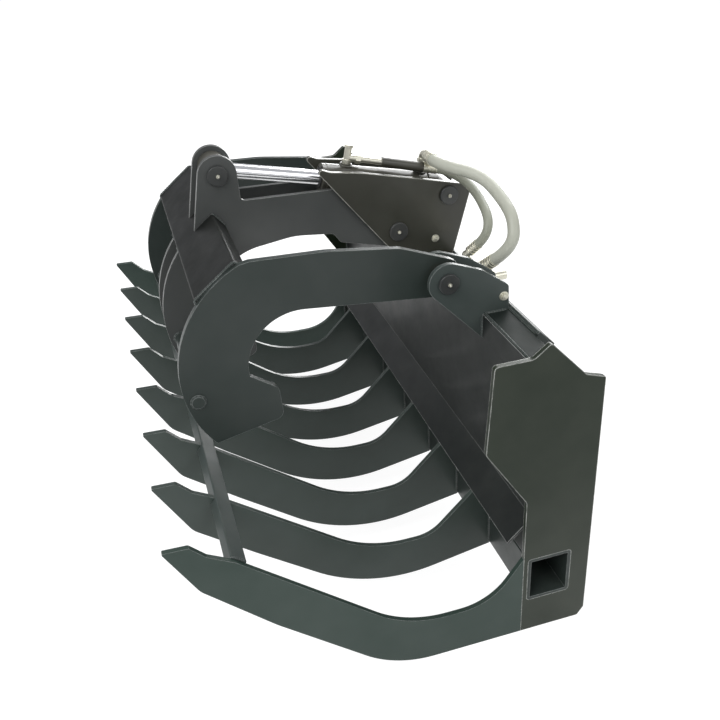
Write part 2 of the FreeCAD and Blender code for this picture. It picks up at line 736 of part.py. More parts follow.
def barrel_wiper():
    """The wiper ring on the front of the gland."""
    start = BARREL_END + GLAND_FLANGE
    ring = round_run(ROD_RADIUS + 7, start, start + 4)
    return ring.cut(round_run(ROD_RADIUS + PIN_GAP, start - 1, start + 5))


def port_boss(distance, height):
    """A port boss welded on top of the barrel, with its bore."""
    boss = Part.makeCylinder(PORT_RADIUS, BARREL_RADIUS + height, along(distance, 0), cylinder_up())
    boss = boss.cut(round_run(BARREL_RADIUS, distance - 30, distance + 30))
    hole = Part.makeCylinder(PORT_BORE, BARREL_RADIUS + height + 1, along(distance, 0), cylinder_up())
    return boss.cut(hole)


def elbow(foot, up, out):
    """A hose elbow: a nut, a quarter bend and a nipple that points along out."""
    nut = hexagon(foot, up, 2.2 * ELBOW_RADIUS, 12)
    bend_start = foot + up * 12
    centre = bend_start + out * ELBOW_BEND
    turn = math.sqrt(0.5)
    bend_middle = centre - out * (ELBOW_BEND * turn) + up * (ELBOW_BEND * turn)
    bend_end = centre + up * ELBOW_BEND
    arc = Part.Wire([Part.Arc(bend_start, bend_middle, bend_end).toShape()])
    ring = Part.Wire([Part.Circle(bend_start, up, ELBOW_RADIUS).toShape()])
    bend = arc.makePipeShell([ring], True, False)
    tail = Part.makeCylinder(ELBOW_RADIUS, 8, bend_end, out)
    end_nut = hexagon(bend_end + out * 8, out, 2.4 * ELBOW_RADIUS, 12)
    body = nut.fuse([bend, tail, end_nut]).removeSplitter()
    return body, bend_end + out * 20


def port_tee(foot, up, out):
    """The front port's fitting: a capped column with an outlet low on its side."""
    nut = hexagon(foot, up, 2.2 * ELBOW_RADIUS, 10)
    column = Part.makeCylinder(ELBOW_RADIUS - 1, FRONT_COLUMN - 8, foot, up)
    cap = hexagon(foot + up * (FRONT_COLUMN - 8), up, 2 * ELBOW_RADIUS, 8)
    knee = foot + up * FRONT_LINE_LIFT
    outlet = Part.makeCylinder(ELBOW_RADIUS - 1, 24, knee, out)
    end_nut = hexagon(knee + out * 22, out, 2.2 * ELBOW_RADIUS, 13)
    body = nut.fuse(column).fuse(cap).fuse(outlet).fuse(end_nut)
    return body.removeSplitter(), knee + out * 35


def line_guard(start, out):
    """The sleeve that covers the middle of the port line."""
    foot = start + out * LINE_GUARD_START
    length = PORT_LINE_LENGTH - LINE_GUARD_START
    sleeve = Part.makeCylinder(LINE_GUARD_RADIUS, length, foot, out)
    bore = Part.makeCylinder(PORT_LINE_RADIUS + PIN_GAP, length + 2, foot - out, out)
    return sleeve.cut(bore)


def angled_adapter(foot, target):
    """The adapter on the hose block: a short riser and a nipple aimed at a point."""
    up = FreeCAD.Vector(0, 0, 1)
    nut = hexagon(foot, up, 2.4 * ELBOW_RADIUS, 10)
    knee = foot + up * 16
    out = (target - knee).normalize()
    riser = Part.makeCylinder(ELBOW_RADIUS, 6, foot + up * 10, up)
    ball = Part.makeSphere(1.1 * ELBOW_RADIUS, knee, out)
    spout = Part.makeCylinder(ELBOW_RADIUS, 16, knee, out)
    body = nut.fuse(riser).fuse(ball).fuse(spout)
    return body, knee + out * 16, out


def ferrule(start, direction, hose_radius):
    """A crimped ferrule with three grooves, for a hose of a radius."""
    outside = hose_radius + FERRULE_WALL
    body = Part.makeCylinder(outside, FERRULE_LENGTH, start, direction)
    for step in (8, 18, 28):
        groove = Part.makeCylinder(outside + 1, 4, start + direction * step, direction)
        core = Part.makeCylinder(outside - 1.2, 4, start + direction * step, direction)
        body = body.cut(groove.cut(core))
    return body, start + direction * FERRULE_LENGTH


def hose(points, radius):
    """A hose along straight runs joined by arcs, as large as the runs allow."""
    edges = []
    radii = []
    here = points[0]
    for index in range(1, len(points) - 1):
        corner = points[index]
        back = points[index - 1] - corner
        ahead = points[index + 1] - corner
        turn = math.pi - back.getAngle(ahead)
        back_share = 0.9 if index == 1 else 0.45
        ahead_share = 0.9 if index == len(points) - 2 else 0.45
        reach = min(back_share * back.Length, ahead_share * ahead.Length)
        bend = reach / math.tan(turn / 2)
        back.normalize()
        ahead.normalize()
        start = corner + back * reach
        end = corner + ahead * reach
        bisector = (back + ahead).normalize()
        middle = corner + bisector * (bend / math.cos(turn / 2) - bend)
        edges.append(Part.LineSegment(here, start).toShape())
        edges.append(Part.Arc(start, middle, end).toShape())
        radii.append(bend)
        here = end
    edges.append(Part.LineSegment(here, points[-1]).toShape())
    path = Part.Wire(edges)
    ring = Part.Wire([Part.Circle(points[0], points[1] - points[0], radius).toShape()])
    body = path.makePipeShell([ring], True, False)
    share = body.Volume / (math.pi * radius ** 2 * path.Length)
    print("hose: length %.0f, volume share %.4f, radii" % (path.Length, share), [round(bend) for bend in radii])
    return body


def quick_coupler(x, y, z):
    """A flat-faced coupler tip on the back of the hose block, pointing to the loader."""
    out = FreeCAD.Vector(0, 1, 0)
    root = at(x, y, z)
    nut = hexagon(root, out, COUPLER_NUT, 12)
    body = Part.makeCylinder(COUPLER_TIP_RADIUS, COUPLER_TIP_LENGTH, root + out * 12, out)
    ring = Part.makeCylinder(COUPLER_TIP_RADIUS + 2, 20, root, out)
    return nut.fuse([body, ring]).removeSplitter()


def build_frame():
    """Everything that doesn't move."""
    crossbar = crossbar_solid()
    save("tip_crossbar", crossbar)
    for index in range(TINE_COUNT):
        x = HALF - PLATE / 2 - index * TINE_PITCH
        outside = index in (0, TINE_COUNT - 1)
        tine = outer_tine(x) if outside else inner_tine(x, crossbar)
        save("tine_%d" % (index + 1), tine)
    for side, name in ((1, "right"), (-1, "left")):
        save("end_plate_" + name, end_plate(side))
        save("coupler_cheek_" + name, coupler_cheek(side))
        save("mast_plate_" + name, mast_plate(side))
        ears = [hinge_ear(side * (ARM_SPACING + step)) for step in (-EAR_OFFSET, EAR_OFFSET)]
        save("hinge_ears_" + name, ears)
    save("back_sheet", back_sheet())
    save("bottom_tube", cross_tube(
        BOTTOM_TUBE_Y, BOTTOM_TUBE_Z, BOTTOM_TUBE_DEPTH, BOTTOM_TUBE_HEIGHT,
        BOTTOM_TUBE_WALL, -HALF, HALF))
    save("top_tube", cross_tube(
        TOP_TUBE_FRONT, TOP_TUBE_UNDER, TOP_TUBE_SIZE, TOP_TUBE_SIZE, TUBE_WALL, -INSIDE, INSIDE))
    ribs = [back_rib(x) for x in (-RIB_SPREAD, -RIB_INNER, RIB_INNER, RIB_SPREAD)]
    save("back_ribs", ribs)
    save("coupler_plate", coupler_plate())


def build_pins():
    """The pins that the frame holds, with their collars and bolts."""
    ear_reach = EAR_OFFSET + PLATE / 2
    mast_reach = MAST_X + PLATE / 2
    collars = []
    bolts = []
    for side, name in ((1, "right"), (-1, "left")):
        head = side * (ARM_SPACING + ear_reach)
        tail = side * (ARM_SPACING - ear_reach - COLLAR_LENGTH)
        save("hinge_pin_" + name, headed_pin(PIVOT_Y, PIVOT_Z, head, tail, side))
        collars.append(collar(PIVOT_Y, PIVOT_Z, tail, side))
        bolts.append(cross_bolt(PIVOT_Y, PIVOT_Z, tail, side))
    tail = -mast_reach - COLLAR_LENGTH
    for name, y, z in (("hinge_pin_middle", PIVOT_Y, PIVOT_Z), ("cylinder_foot_pin", FOOT_Y, FOOT_Z)):
        save(name, headed_pin(y, z, mast_reach, tail, 1))
        collars.append(collar(y, z, tail, 1))
        bolts.append(cross_bolt(y, z, tail, 1))
    save("pin_collars", collars)
    save("pin_bolts", bolts)


def build_jaw():
    """The jaw that closes over the tines."""
    outside, shoulder = shoulder_outside()
    save("jaw_shoulder_tube", shoulder)
    for side, name in ((1, "right"), (-1, "left")):
        save("jaw_arm_" + name, jaw_arm(side * ARM_SPACING, ARM_PLATE, False, outside))
        save("jaw_arm_middle_" + name, jaw_arm(side * MID_ARM_OFFSET, PLATE, True, outside))
        start = side * ARM_SPACING - BUSH_LENGTH / 2
        save("jaw_bush_" + name, bush(start, start + BUSH_LENGTH))
    mid_half = MID_ARM_OUTSIDE + MAST_PLAY / 2
    save("jaw_bush_middle", bush(-mid_half, mid_half))
    toe_y, toe_z = toe_bar_place()
    toe_half = ARM_SPACING + ARM_PLATE / 2 + TOE_BAR_STICK_OUT
    save("jaw_toe_bar", cross_rod(toe_y, toe_z, TOE_BAR_RADIUS, -toe_half, toe_half))
    nipple_x = ARM_SPACING - BUSH_LENGTH / 2 + 11
    save("grease_nipples", [nipple(nipple_x), nipple(-nipple_x), nipple(0)])
    pin_half = MID_ARM_OUTSIDE + SIDE_PLAY
    tail = -pin_half - COLLAR_LENGTH
    save("rod_pin", headed_pin(ROD_PIN_Y, ROD_PIN_Z, pin_half, tail, 1))
    save("rod_pin_collar", collar(ROD_PIN_Y, ROD_PIN_Z, tail, 1))
    save("rod_pin_bolt", cross_bolt(ROD_PIN_Y, ROD_PIN_Z, tail, 1))


def build_cylinder():
    """The hydraulic cylinder, and the ends of the hoses on its barrel."""
    save("cylinder_tube", barrel_tube())
    save("cylinder_base", barrel_base())
    save("cylinder_gland", barrel_gland())
    save("cylinder_wiper", barrel_wiper())
    bosses = [port_boss(BACK_PORT, PORT_HEIGHT), port_boss(FRONT_PORT, FRONT_PORT_HEIGHT)]
    save("cylinder_ports", bosses)
    up = cylinder_up()
    back_foot = along(BACK_PORT, BARREL_RADIUS + PORT_HEIGHT)
    front_foot = along(FRONT_PORT, BARREL_RADIUS + FRONT_PORT_HEIGHT)
    back_elbow, back_end = elbow(back_foot, up, FreeCAD.Vector(1, 0, 0))
    splay = (FreeCAD.Vector(PORT_LINE_SPLAY, 0, 0) - cylinder_axis()).normalize()
    front_tee, front_end = port_tee(front_foot, up, splay)
    save("port_elbows", [back_elbow, front_tee])
    save("port_line", Part.makeCylinder(PORT_LINE_RADIUS, PORT_LINE_LENGTH, front_end, splay))
    save("port_line_guard", line_guard(front_end, splay))
    back_ferrule, back_hose = ferrule(back_end, FreeCAD.Vector(1, 0, 0), OUTER_HOSE_RADIUS)
    front_ferrule, front_hose = ferrule(front_end + splay * PORT_LINE_LENGTH, splay, INNER_HOSE_RADIUS)
    save("hose_ferrules_upper", [back_ferrule, front_ferrule])
    piston_front = PISTON_BACK + PISTON_LENGTH
    eye_half = MID_ARM_INSIDE - 4
    rod = round_run(ROD_RADIUS, piston_front, ROD_LENGTH)
    eye = cross_rod(ROD_PIN_Y, ROD_PIN_Z, EYE_RADIUS, -eye_half, eye_half)
    save("cylinder_rod", rod.cut(eye))
    save("rod_eye", eye.cut(cross_rod(ROD_PIN_Y, ROD_PIN_Z, PIN_RADIUS + EYE_PLAY, -eye_half - 1, eye_half + 1)))
    middle = (PISTON_BACK + piston_front) / 2
    groove = round_run(BORE_RADIUS + 1, middle - SEAL_WIDTH / 2, middle + SEAL_WIDTH / 2)
    groove = groove.cut(round_run(BORE_RADIUS - SEAL_GROOVE, middle - SEAL_WIDTH, middle + SEAL_WIDTH))
    piston = round_run(BORE_RADIUS - PIN_GAP, PISTON_BACK, piston_front)
    save("cylinder_piston", piston.cut(groove))
    save("piston_seal", groove.common(round_run(BORE_RADIUS - PIN_GAP, PISTON_BACK, piston_front)))
    return back_hose, front_hose, splay


def behind(x, back, z):
    """A place for a hose, counted back from the front of the coupler plate."""
    return at(x, COUPLER_FRONT + back, z)


def build_hoses(back_hose, front_hose, splay):
    """The hose block on the top tube, its fittings and the two hoses."""
    block_y = COUPLER_FRONT - 4 - BLOCK_DEPTH
    block_top = TOP_TUBE_TOP + BLOCK_HEIGHT
    block = Part.makeBox(BLOCK_WIDTH, BLOCK_DEPTH, BLOCK_HEIGHT, at(BLOCK_X - BLOCK_WIDTH / 2, block_y, TOP_TUBE_TOP))
    save("hose_block", block.makeChamfer(3, block.Edges))
    inner_crest = behind(272, 24, 848)
    outer_crest = behind(380, 24, 842)
    adapters = []
    ferrules = []
    ends = []
    pairs = ((-BLOCK_PORTS / 2, inner_crest, INNER_HOSE_RADIUS), (BLOCK_PORTS / 2, outer_crest, OUTER_HOSE_RADIUS))
    for step, target, radius in pairs:
        foot = at(BLOCK_X + step, block_y + BLOCK_PORT_SETBACK, block_top)
        adapter, spout, aim = angled_adapter(foot, target)
        sleeve, end = ferrule(spout, aim, radius)
        adapters.append(adapter)
        ferrules.append(sleeve)
        ends.append(end)
    save("hose_adapters", adapters)
    save("hose_ferrules_lower", ferrules)
    tips = []
    for share in (-0.25, 0.25):
        tip_x = BLOCK_X + share * BLOCK_WIDTH
        tips.append(quick_coupler(tip_x, block_y + BLOCK_DEPTH, TOP_TUBE_TOP + COUPLER_TIP_RISE))
    save("quick_couplers", tips)
    inner = [
        front_hose,
        front_hose + splay * 38,
        behind(122, 40, 903),
        inner_crest,
        ends[0],
    ]
    outer = [
        back_hose,
        back_hose + FreeCAD.Vector(50, 0, 0),
        behind(202, 18, 968),
        behind(286, 37, 932),
        behind(352, 38, 900),
        outer_crest,
        ends[1],
    ]
    save("hose_inner", hose(inner, INNER_HOSE_RADIUS))
    save("hose_outer", hose(outer, OUTER_HOSE_RADIUS))


def main():
    """Build every piece and write its file."""
    os.makedirs("parts", exist_ok=True)
    build_frame()
    build_pins()
    build_jaw()
    back_hose, front_hose, splay = build_cylinder()
    build_hoses(back_hose, front_hose, splay)


main()
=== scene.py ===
import json
import logging
import math
from dataclasses import dataclass, field
from enum import Enum

import bmesh
import bpy
from mathutils import Matrix, Vector


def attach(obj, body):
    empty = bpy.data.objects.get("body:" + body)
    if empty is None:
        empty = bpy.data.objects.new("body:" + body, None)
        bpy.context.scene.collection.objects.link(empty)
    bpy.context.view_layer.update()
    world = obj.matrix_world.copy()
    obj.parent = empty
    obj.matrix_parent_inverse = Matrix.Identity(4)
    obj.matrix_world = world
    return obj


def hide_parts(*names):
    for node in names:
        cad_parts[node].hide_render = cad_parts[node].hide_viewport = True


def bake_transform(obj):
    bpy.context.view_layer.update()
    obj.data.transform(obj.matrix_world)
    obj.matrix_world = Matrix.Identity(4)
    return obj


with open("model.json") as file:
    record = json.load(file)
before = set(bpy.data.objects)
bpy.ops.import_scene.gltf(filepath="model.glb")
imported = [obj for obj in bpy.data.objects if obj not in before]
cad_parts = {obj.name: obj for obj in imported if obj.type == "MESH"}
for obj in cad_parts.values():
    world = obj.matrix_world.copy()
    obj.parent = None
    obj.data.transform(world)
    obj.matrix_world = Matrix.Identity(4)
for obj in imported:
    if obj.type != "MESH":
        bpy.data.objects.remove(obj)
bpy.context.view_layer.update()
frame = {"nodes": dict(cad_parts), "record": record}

LOG = logging.getLogger("grapple_rake")

Socket = bpy.types.NodeSocket

MID_Y = 0.481

TINE_PITCH = 1512 / 7
OUTER_TINE = 756.0
PLATE_INSIDE = 750.0
ARM_PLACE = 378.0
PIVOT = (745.0, 800.0)
FOOT_PIN = (888.0, 878.0)
ROD_PIN = (294.0, 1015.0)

# Each noise is its waves per metre, its octaves and how strong the fine ones are.
PATCH_NOISE = (6.0, 3.0, 0.55)
# Breaks up the edge colour, which is worn paint and a painted highlight.
EDGE_BREAKUP_NOISE = (38.0, 4.0, 0.7)
DUST_NOISE = (14.0, 5.0, 0.65)
LOW_PALE_NOISE = (9.0, 4.0, 0.6)
SMEAR_NOISE = (11.0, 4.0, 0.6)
# Each range is the value at the low end and the one at the high end of what it is stretched to.
PATCH_RANGE = (0.35, 0.7)
DUST_RANGE = (0.45, 0.8)
LOW_PALE_RANGE = (0.25, 0.65)
SMEAR_RANGE = (0.3, 0.75)
EDGE_RANGE = (0.995, 0.8)
UPWARD_RANGE = (0.35, 0.95)
LOW_PALE_HEIGHTS = (0.45, 0.10)
LOW_PALE_LEVELS = (0.6, 1.0)
BEVEL_SAMPLES = 6
DUST_COLOUR = (0.23, 0.22, 0.19)
# The pale colour that a piece is blended towards near its bottom.
LOW_PALE_COLOUR = (0.30, 0.30, 0.27)
COAT_ROUGHNESS = 0.12
SHARP_ANGLE = math.radians(38)


def side(x: float, y: float, z: float) -> Vector:
    """Turn a place in millimetres, y counted from the tine tips, into the frame's metres.

    Args:
        x: distance across the width from the middle.
        y: distance back from the tine tips.
        z: height above the ground.

    Returns:
        The place in the row frame.
    """
    return Vector((x / 1000, y / 1000 - MID_Y, z / 1000))


class Coat(Enum):
    """Which kind of surface a finish is."""

    PAINT = "paint"
    STEEL = "steel"
    RUBBER = "rubber"
    WEAVE = "weave"


@dataclass(frozen=True)
class Finish:
    """A procedural surface: its colours, gloss, edge wear with painted edge highlights, and fine relief.

    Attributes:
        name: the material's name.
        slot: the record's material slot.
        coat: the kind of surface.
        base: the main colour, linear.
        shade: a second colour that drifts over the first in patches.
        rough: the two ends of the roughness.
        edge: the colour along edges: worn paint, and where it is pale, a painted highlight of light
            catching the edge.
        metallic: how metallic the surface is.
        clear: the strength of a clear top coat.
        grain: the size of the fine relief, in waves per metre.
        relief: the height of the fine relief, in metres.
        edge_wear_and_highlight: how far the edge colour, worn paint and painted highlight, reaches, from 0
            to 1.
        dust: how much pale dust lies on upward faces.
        round_edge: the radius that edges seem to have, in metres.
        edge_reach: how far in from an edge its colour shows, in metres.
        gloss: the strength of the plain reflection, 0.5 for most paints.
        low_paling: how much paler the piece is made towards the bottom.
    """

    name: str
    slot: str
    coat: Coat
    base: tuple[float, float, float]
    shade: tuple[float, float, float]
    rough: tuple[float, float]
    edge: tuple[float, float, float] = (0.26, 0.28, 0.27)
    metallic: float = 0.0
    clear: float = 0.0
    grain: float = 220.0
    relief: float = 0.00004
    edge_wear_and_highlight: float = 0.0
    dust: float = 0.0
    round_edge: float = 0.0012
    edge_reach: float = 0.0022
    gloss: float = 0.5
    low_paling: float = 0.0

    def build(self) -> bpy.types.Material:
        """Make the material, once.

        Returns:
            The node material.
        """
        known = bpy.data.materials.get(self.name)
        if known:
            return known
        material = bpy.data.materials.new(self.name)
        material.use_nodes = True
        mixer = Mixer(material)
        self.dress(mixer)
        return material

    def dress(self, mixer: "Mixer") -> None:
        """Wire the colour, gloss and relief of this finish.

        Args:
            mixer: the node builder of the material.
        """
        shader = mixer.shader
        patches = mixer.ramp(mixer.noise(*PATCH_NOISE), *PATCH_RANGE)
        colour = mixer.mix(patches, self.base, self.shade)
        # Edge colour: chipped worn paint, and where the edge colour is pale, a painted highlight of light
        # catching the edge.
        if self.edge_wear_and_highlight:
            edges = mixer.edge_mask(self.edge_reach)
            edge_noise = mixer.noise(*EDGE_BREAKUP_NOISE)
            edge_breakup = mixer.ramp(edge_noise, 0.5 - 0.3 * self.edge_wear_and_highlight, 0.72 - 0.2 * self.edge_wear_and_highlight)
            chips_and_highlights = mixer.math("MULTIPLY", edges, edge_breakup)
            colour = mixer.mix(chips_and_highlights, colour, self.edge)
        if self.dust:
            flat = mixer.upward_mask()
            cloud = mixer.ramp(mixer.noise(*DUST_NOISE), *DUST_RANGE)
            amount = mixer.math("MULTIPLY", mixer.math("MULTIPLY", flat, cloud), self.dust)
            colour = mixer.mix(amount, colour, DUST_COLOUR)
        # Paler towards the bottom of the piece, under a cloudy upper limit.
        if self.low_paling:
            amount = mixer.math("MULTIPLY", mixer.low_mask(), self.low_paling)
            colour = mixer.mix(amount, colour, LOW_PALE_COLOUR)
        mixer.link(colour, shader.inputs["Base Color"])
        smear = mixer.ramp(mixer.noise(*SMEAR_NOISE), *SMEAR_RANGE, *self.rough)
        mixer.link(smear, shader.inputs["Roughness"])
        shader.inputs["Metallic"].default_value = self.metallic
        shader.inputs["Specular IOR Level"].default_value = self.gloss
        shader.inputs["Coat Weight"].default_value = self.clear
        shader.inputs["Coat Roughness"].default_value = COAT_ROUGHNESS
        if self.coat is Coat.STEEL:
            height = mixer.brushed(self.grain)
        elif self.coat is Coat.WEAVE:
            height = mixer.braid(self.grain)
        else:
            height = mixer.noise(self.grain, 2.0, 0.6)
        mixer.bump(height, self.relief, self.round_edge)


class Mixer:
    """Builds the nodes of one material."""

    def __init__(self, material: bpy.types.Material) -> None:
        """Start from the material's own shader.

        Args:
            material: a material with nodes.
        """
        self.tree = material.node_tree
        self.shader = self.tree.nodes["Principled BSDF"]
        self.place = self.tree.nodes.new("ShaderNodeTexCoord").outputs["Object"]

    def link(self, source: Socket, target: Socket) -> None:
        """Join an output to an input."""
        self.tree.links.new(source, target)

    def noise(
            self, scale: float, detail: float, rough: float,
            stretch: tuple[float, float, float] = (1, 1, 1)) -> Socket:
        """Add a noise on object coordinates.

        Args:
            scale: waves per metre.
            detail: octaves.
            rough: how strong the fine octaves are.
            stretch: how the pattern is scaled along each axis.

        Returns:
            The noise's value.
        """
        node = self.tree.nodes.new("ShaderNodeTexNoise")
        node.inputs["Scale"].default_value = scale
        node.inputs["Detail"].default_value = detail
        node.inputs["Roughness"].default_value = rough
        if stretch == (1, 1, 1):
            self.link(self.place, node.inputs["Vector"])
        else:
            mapping = self.tree.nodes.new("ShaderNodeMapping")
            mapping.inputs["Scale"].default_value = stretch
            self.link(self.place, mapping.inputs["Vector"])
            self.link(mapping.outputs["Vector"], node.inputs["Vector"])
        return node.outputs["Fac"]

    def ramp(
            self, value: Socket, low: float, high: float,
            out_low: float = 0.0, out_high: float = 1.0) -> Socket:
        """Stretch a value to another range, and clamp it.

        Args:
            value: the socket to stretch.
            low: the value that becomes out_low.
            high: the value that becomes out_high.
            out_low: the start of the new range.
            out_high: the end of the new range.

        Returns:
            The stretched value.
        """
        node = self.tree.nodes.new("ShaderNodeMapRange")
        self.link(value, node.inputs["Value"])
        limits = {"From Min": low, "From Max": high, "To Min": out_low, "To Max": out_high}
        for name, number in limits.items():
            node.inputs[name].default_value = number
        return node.outputs["Result"]

    def math(self, operation: str, first: Socket, second: Socket | float) -> Socket:
        """Combine two values.

        Args:
            operation: the name of the sum.
            first: a socket.
            second: a socket or a number.

        Returns:
            The result.
        """
        node = self.tree.nodes.new("ShaderNodeMath")
        node.operation = operation
        self.link(first, node.inputs[0])
        if isinstance(second, (int, float)):
            node.inputs[1].default_value = second
        else:
            self.link(second, node.inputs[1])
        return node.outputs[0]

    def mix(self, factor: Socket, first: Socket | tuple, second: tuple) -> Socket:
        """Mix a colour with a fixed one by a value.

        Args:
            factor: how much of the second colour shows.
            first: a wired colour or a fixed one.
            second: a fixed colour.

        Returns:
            The mixed colour.
        """
        node = self.tree.nodes.new("ShaderNodeMix")
        node.data_type = "RGBA"
        self.link(factor, node.inputs["Factor"])
        if isinstance(first, tuple):
            node.inputs["A"].default_value = (*first, 1)
        else:
            self.link(first, node.inputs["A"])
        node.inputs["B"].default_value = (*second, 1)
        return node.outputs["Result"]

    def edge_mask(self, radius: float) -> Socket:
        """Find edges, as the angle between the true and a rounded normal.

        Args:
            radius: the radius of the rounding, in metres.

        Returns:
            A value that is 1 at an edge and 0 on a face.
        """
        bevel = self.tree.nodes.new("ShaderNodeBevel")
        bevel.samples = BEVEL_SAMPLES
        bevel.inputs["Radius"].default_value = radius
        geometry = self.tree.nodes.new("ShaderNodeNewGeometry")
        dot = self.tree.nodes.new("ShaderNodeVectorMath")
        dot.operation = "DOT_PRODUCT"
        self.link(bevel.outputs["Normal"], dot.inputs[0])
        self.link(geometry.outputs["True Normal"], dot.inputs[1])
        return self.ramp(dot.outputs["Value"], *EDGE_RANGE)

    def upward_mask(self) -> Socket:
        """Find faces that look up, where dust settles.

        Returns:
            A value that is 1 where a face looks straight up.
        """
        geometry = self.tree.nodes.new("ShaderNodeNewGeometry")
        split = self.tree.nodes.new("ShaderNodeSeparateXYZ")
        self.link(geometry.outputs["True Normal"], split.inputs[0])
        return self.ramp(split.outputs["Z"], *UPWARD_RANGE)

    def low_mask(self) -> Socket:
        """Find what lies near the ground, with a cloudy upper limit.

        Returns:
            A value that is highest close to the ground.
        """
        split = self.tree.nodes.new("ShaderNodeSeparateXYZ")
        self.link(self.place, split.inputs[0])
        near = self.ramp(split.outputs["Z"], *LOW_PALE_HEIGHTS)
        cloud = self.ramp(self.noise(*LOW_PALE_NOISE), *LOW_PALE_RANGE, *LOW_PALE_LEVELS)
        return self.math("MULTIPLY", near, cloud)

    def brushed(self, grain: float) -> Socket:
        """Fine turning lines round the X axis."""
        return self.noise(grain, 2.0, 0.5, (6.0, 0.4, 0.4))

    def braid(self, pitch: float) -> Socket:
        """The crossed strands of a hose's sleeve.

        Args:
            pitch: how fine the strands are, in waves per metre.

        Returns:
            The relief's value.
        """
        bands = []
        for turn in (0.7, -0.7):
            node = self.tree.nodes.new("ShaderNodeTexWave")
            node.bands_direction = "DIAGONAL"
            node.inputs["Scale"].default_value = pitch / 20
            mapping = self.tree.nodes.new("ShaderNodeMapping")
            mapping.inputs["Rotation"].default_value = (turn, turn, 0)
            self.link(self.place, mapping.inputs["Vector"])
            self.link(mapping.outputs["Vector"], node.inputs["Vector"])
            bands.append(node.outputs["Fac"])
        return self.math("MAXIMUM", bands[0], bands[1])

    def bump(self, height: Socket, depth: float, round_edge: float) -> None:
        """Give the shader a fine relief over softly rounded edges.

        Args:
            height: the relief's value.
            depth: the relief's height, in metres.
            round_edge: the radius that edges seem to have, in metres.
        """
        soft = self.tree.nodes.new("ShaderNodeBevel")
        soft.samples = BEVEL_SAMPLES
        soft.inputs["Radius"].default_value = round_edge
        node = self.tree.nodes.new("ShaderNodeBump")
        node.inputs["Distance"].default_value = depth
        self.link(height, node.inputs["Height"])
        self.link(soft.outputs["Normal"], node.inputs["Normal"])
        self.link(node.outputs["Normal"], self.shader.inputs["Normal"])


FRAME_PAINT = Finish(
    "painted_frame", "frame_paint", Coat.PAINT,
    (0.0240, 0.0325, 0.0290), (0.0345, 0.0420, 0.0385), (0.30, 0.46),
    clear=0.05, edge_wear_and_highlight=0.75, dust=0.08, round_edge=0.0018, gloss=0.25)
# Painted light: a lighter copy of the frame's paint, standing in for the light that falls on the outer
# tines.
LIT_OUTER_TINE_PAINT = Finish(
    "painted_outer_tine", "frame_paint", Coat.PAINT,
    (0.0270, 0.0455, 0.0370), (0.0380, 0.0570, 0.0480), (0.34, 0.50),
    clear=0.05, edge_wear_and_highlight=0.75, dust=0.08, round_edge=0.0018, gloss=0.28)
# Painted light: a lighter copy of the frame's paint, standing in for the light that falls on the inner
# tines.
LIT_TINE_PAINT = Finish(
    "painted_inner_tine", "frame_paint", Coat.PAINT,
    (0.0410, 0.0540, 0.0470), (0.0510, 0.0660, 0.0590), (0.30, 0.46),
    clear=0.05, edge_wear_and_highlight=0.75, dust=0.08, round_edge=0.0018, gloss=0.28)
# Painted shade and highlight: a darker copy of the frame's paint for the shade on the end plates, with a
# pale painted highlight along their edges, and paler towards the bottom.
SHADED_PLATE_PAINT = Finish(
    "painted_plate", "frame_paint", Coat.PAINT,
    (0.0085, 0.0155, 0.0070), (0.0170, 0.0240, 0.0140), (0.32, 0.48), edge=(0.52, 0.53, 0.50),
    clear=0.05, edge_wear_and_highlight=0.9, dust=0.08, round_edge=0.0018, edge_reach=0.0036, gloss=0.26, low_paling=0.05)
# Painted shade and highlight: a much darker copy of the frame's paint for the shade on the shoulder tube,
# with a bright painted highlight along its edges.
SHADED_BEAM_PAINT = Finish(
    "painted_beam", "frame_paint", Coat.PAINT,
    (0.0060, 0.0072, 0.0064), (0.0120, 0.0132, 0.0120), (0.38, 0.54), edge=(0.62, 0.63, 0.60),
    edge_wear_and_highlight=1.0, dust=0.04, round_edge=0.0018, edge_reach=0.0042, gloss=0.16)
# Painted light: a lighter copy of the frame's paint, standing in for the light on the crossbar, the hose
# block and the hinge ears.
LIT_BRACE_PAINT = Finish(
    "painted_brace", "frame_paint", Coat.PAINT,
    (0.0470, 0.0590, 0.0550), (0.0610, 0.0740, 0.0690), (0.34, 0.50), edge=(0.34, 0.36, 0.35),
    clear=0.05, edge_wear_and_highlight=0.8, dust=0.08, round_edge=0.0018, gloss=0.26)
# Painted light: a lighter copy of the frame's paint, standing in for the light on the middle arms.
LIT_ARM_PAINT = Finish(
    "painted_middle_arm", "frame_paint", Coat.PAINT,
    (0.0560, 0.0600, 0.0580), (0.0690, 0.0730, 0.0700), (0.30, 0.46), edge=(0.40, 0.41, 0.39),
    clear=0.05, edge_wear_and_highlight=0.8, dust=0.10, round_edge=0.0018, gloss=0.30)
# Painted shade and highlight: a darker copy of the frame's paint that tones down the light on the top tube,
# with a pale painted highlight along its edges.
SHADED_TOP_PAINT = Finish(
    "painted_top_tube", "frame_paint", Coat.PAINT,
    (0.0080, 0.0120, 0.0105), (0.0160, 0.0210, 0.0190), (0.55, 0.70), edge=(0.52, 0.53, 0.51),
    edge_wear_and_highlight=0.9, dust=0.03, round_edge=0.0018, edge_reach=0.0036, gloss=0.12)
# Painted shade and highlight: a darker copy of the frame's paint for the shade on the back sheet, with a
# pale painted highlight along its edges.
SHADED_SHEET_PAINT = Finish(
    "painted_sheet", "frame_paint", Coat.PAINT,
    (0.0080, 0.0105, 0.0095), (0.0150, 0.0180, 0.0165), (0.40, 0.58), edge=(0.52, 0.53, 0.51),
    clear=0.05, edge_wear_and_highlight=1.0, dust=0.06, round_edge=0.0018, gloss=0.42)
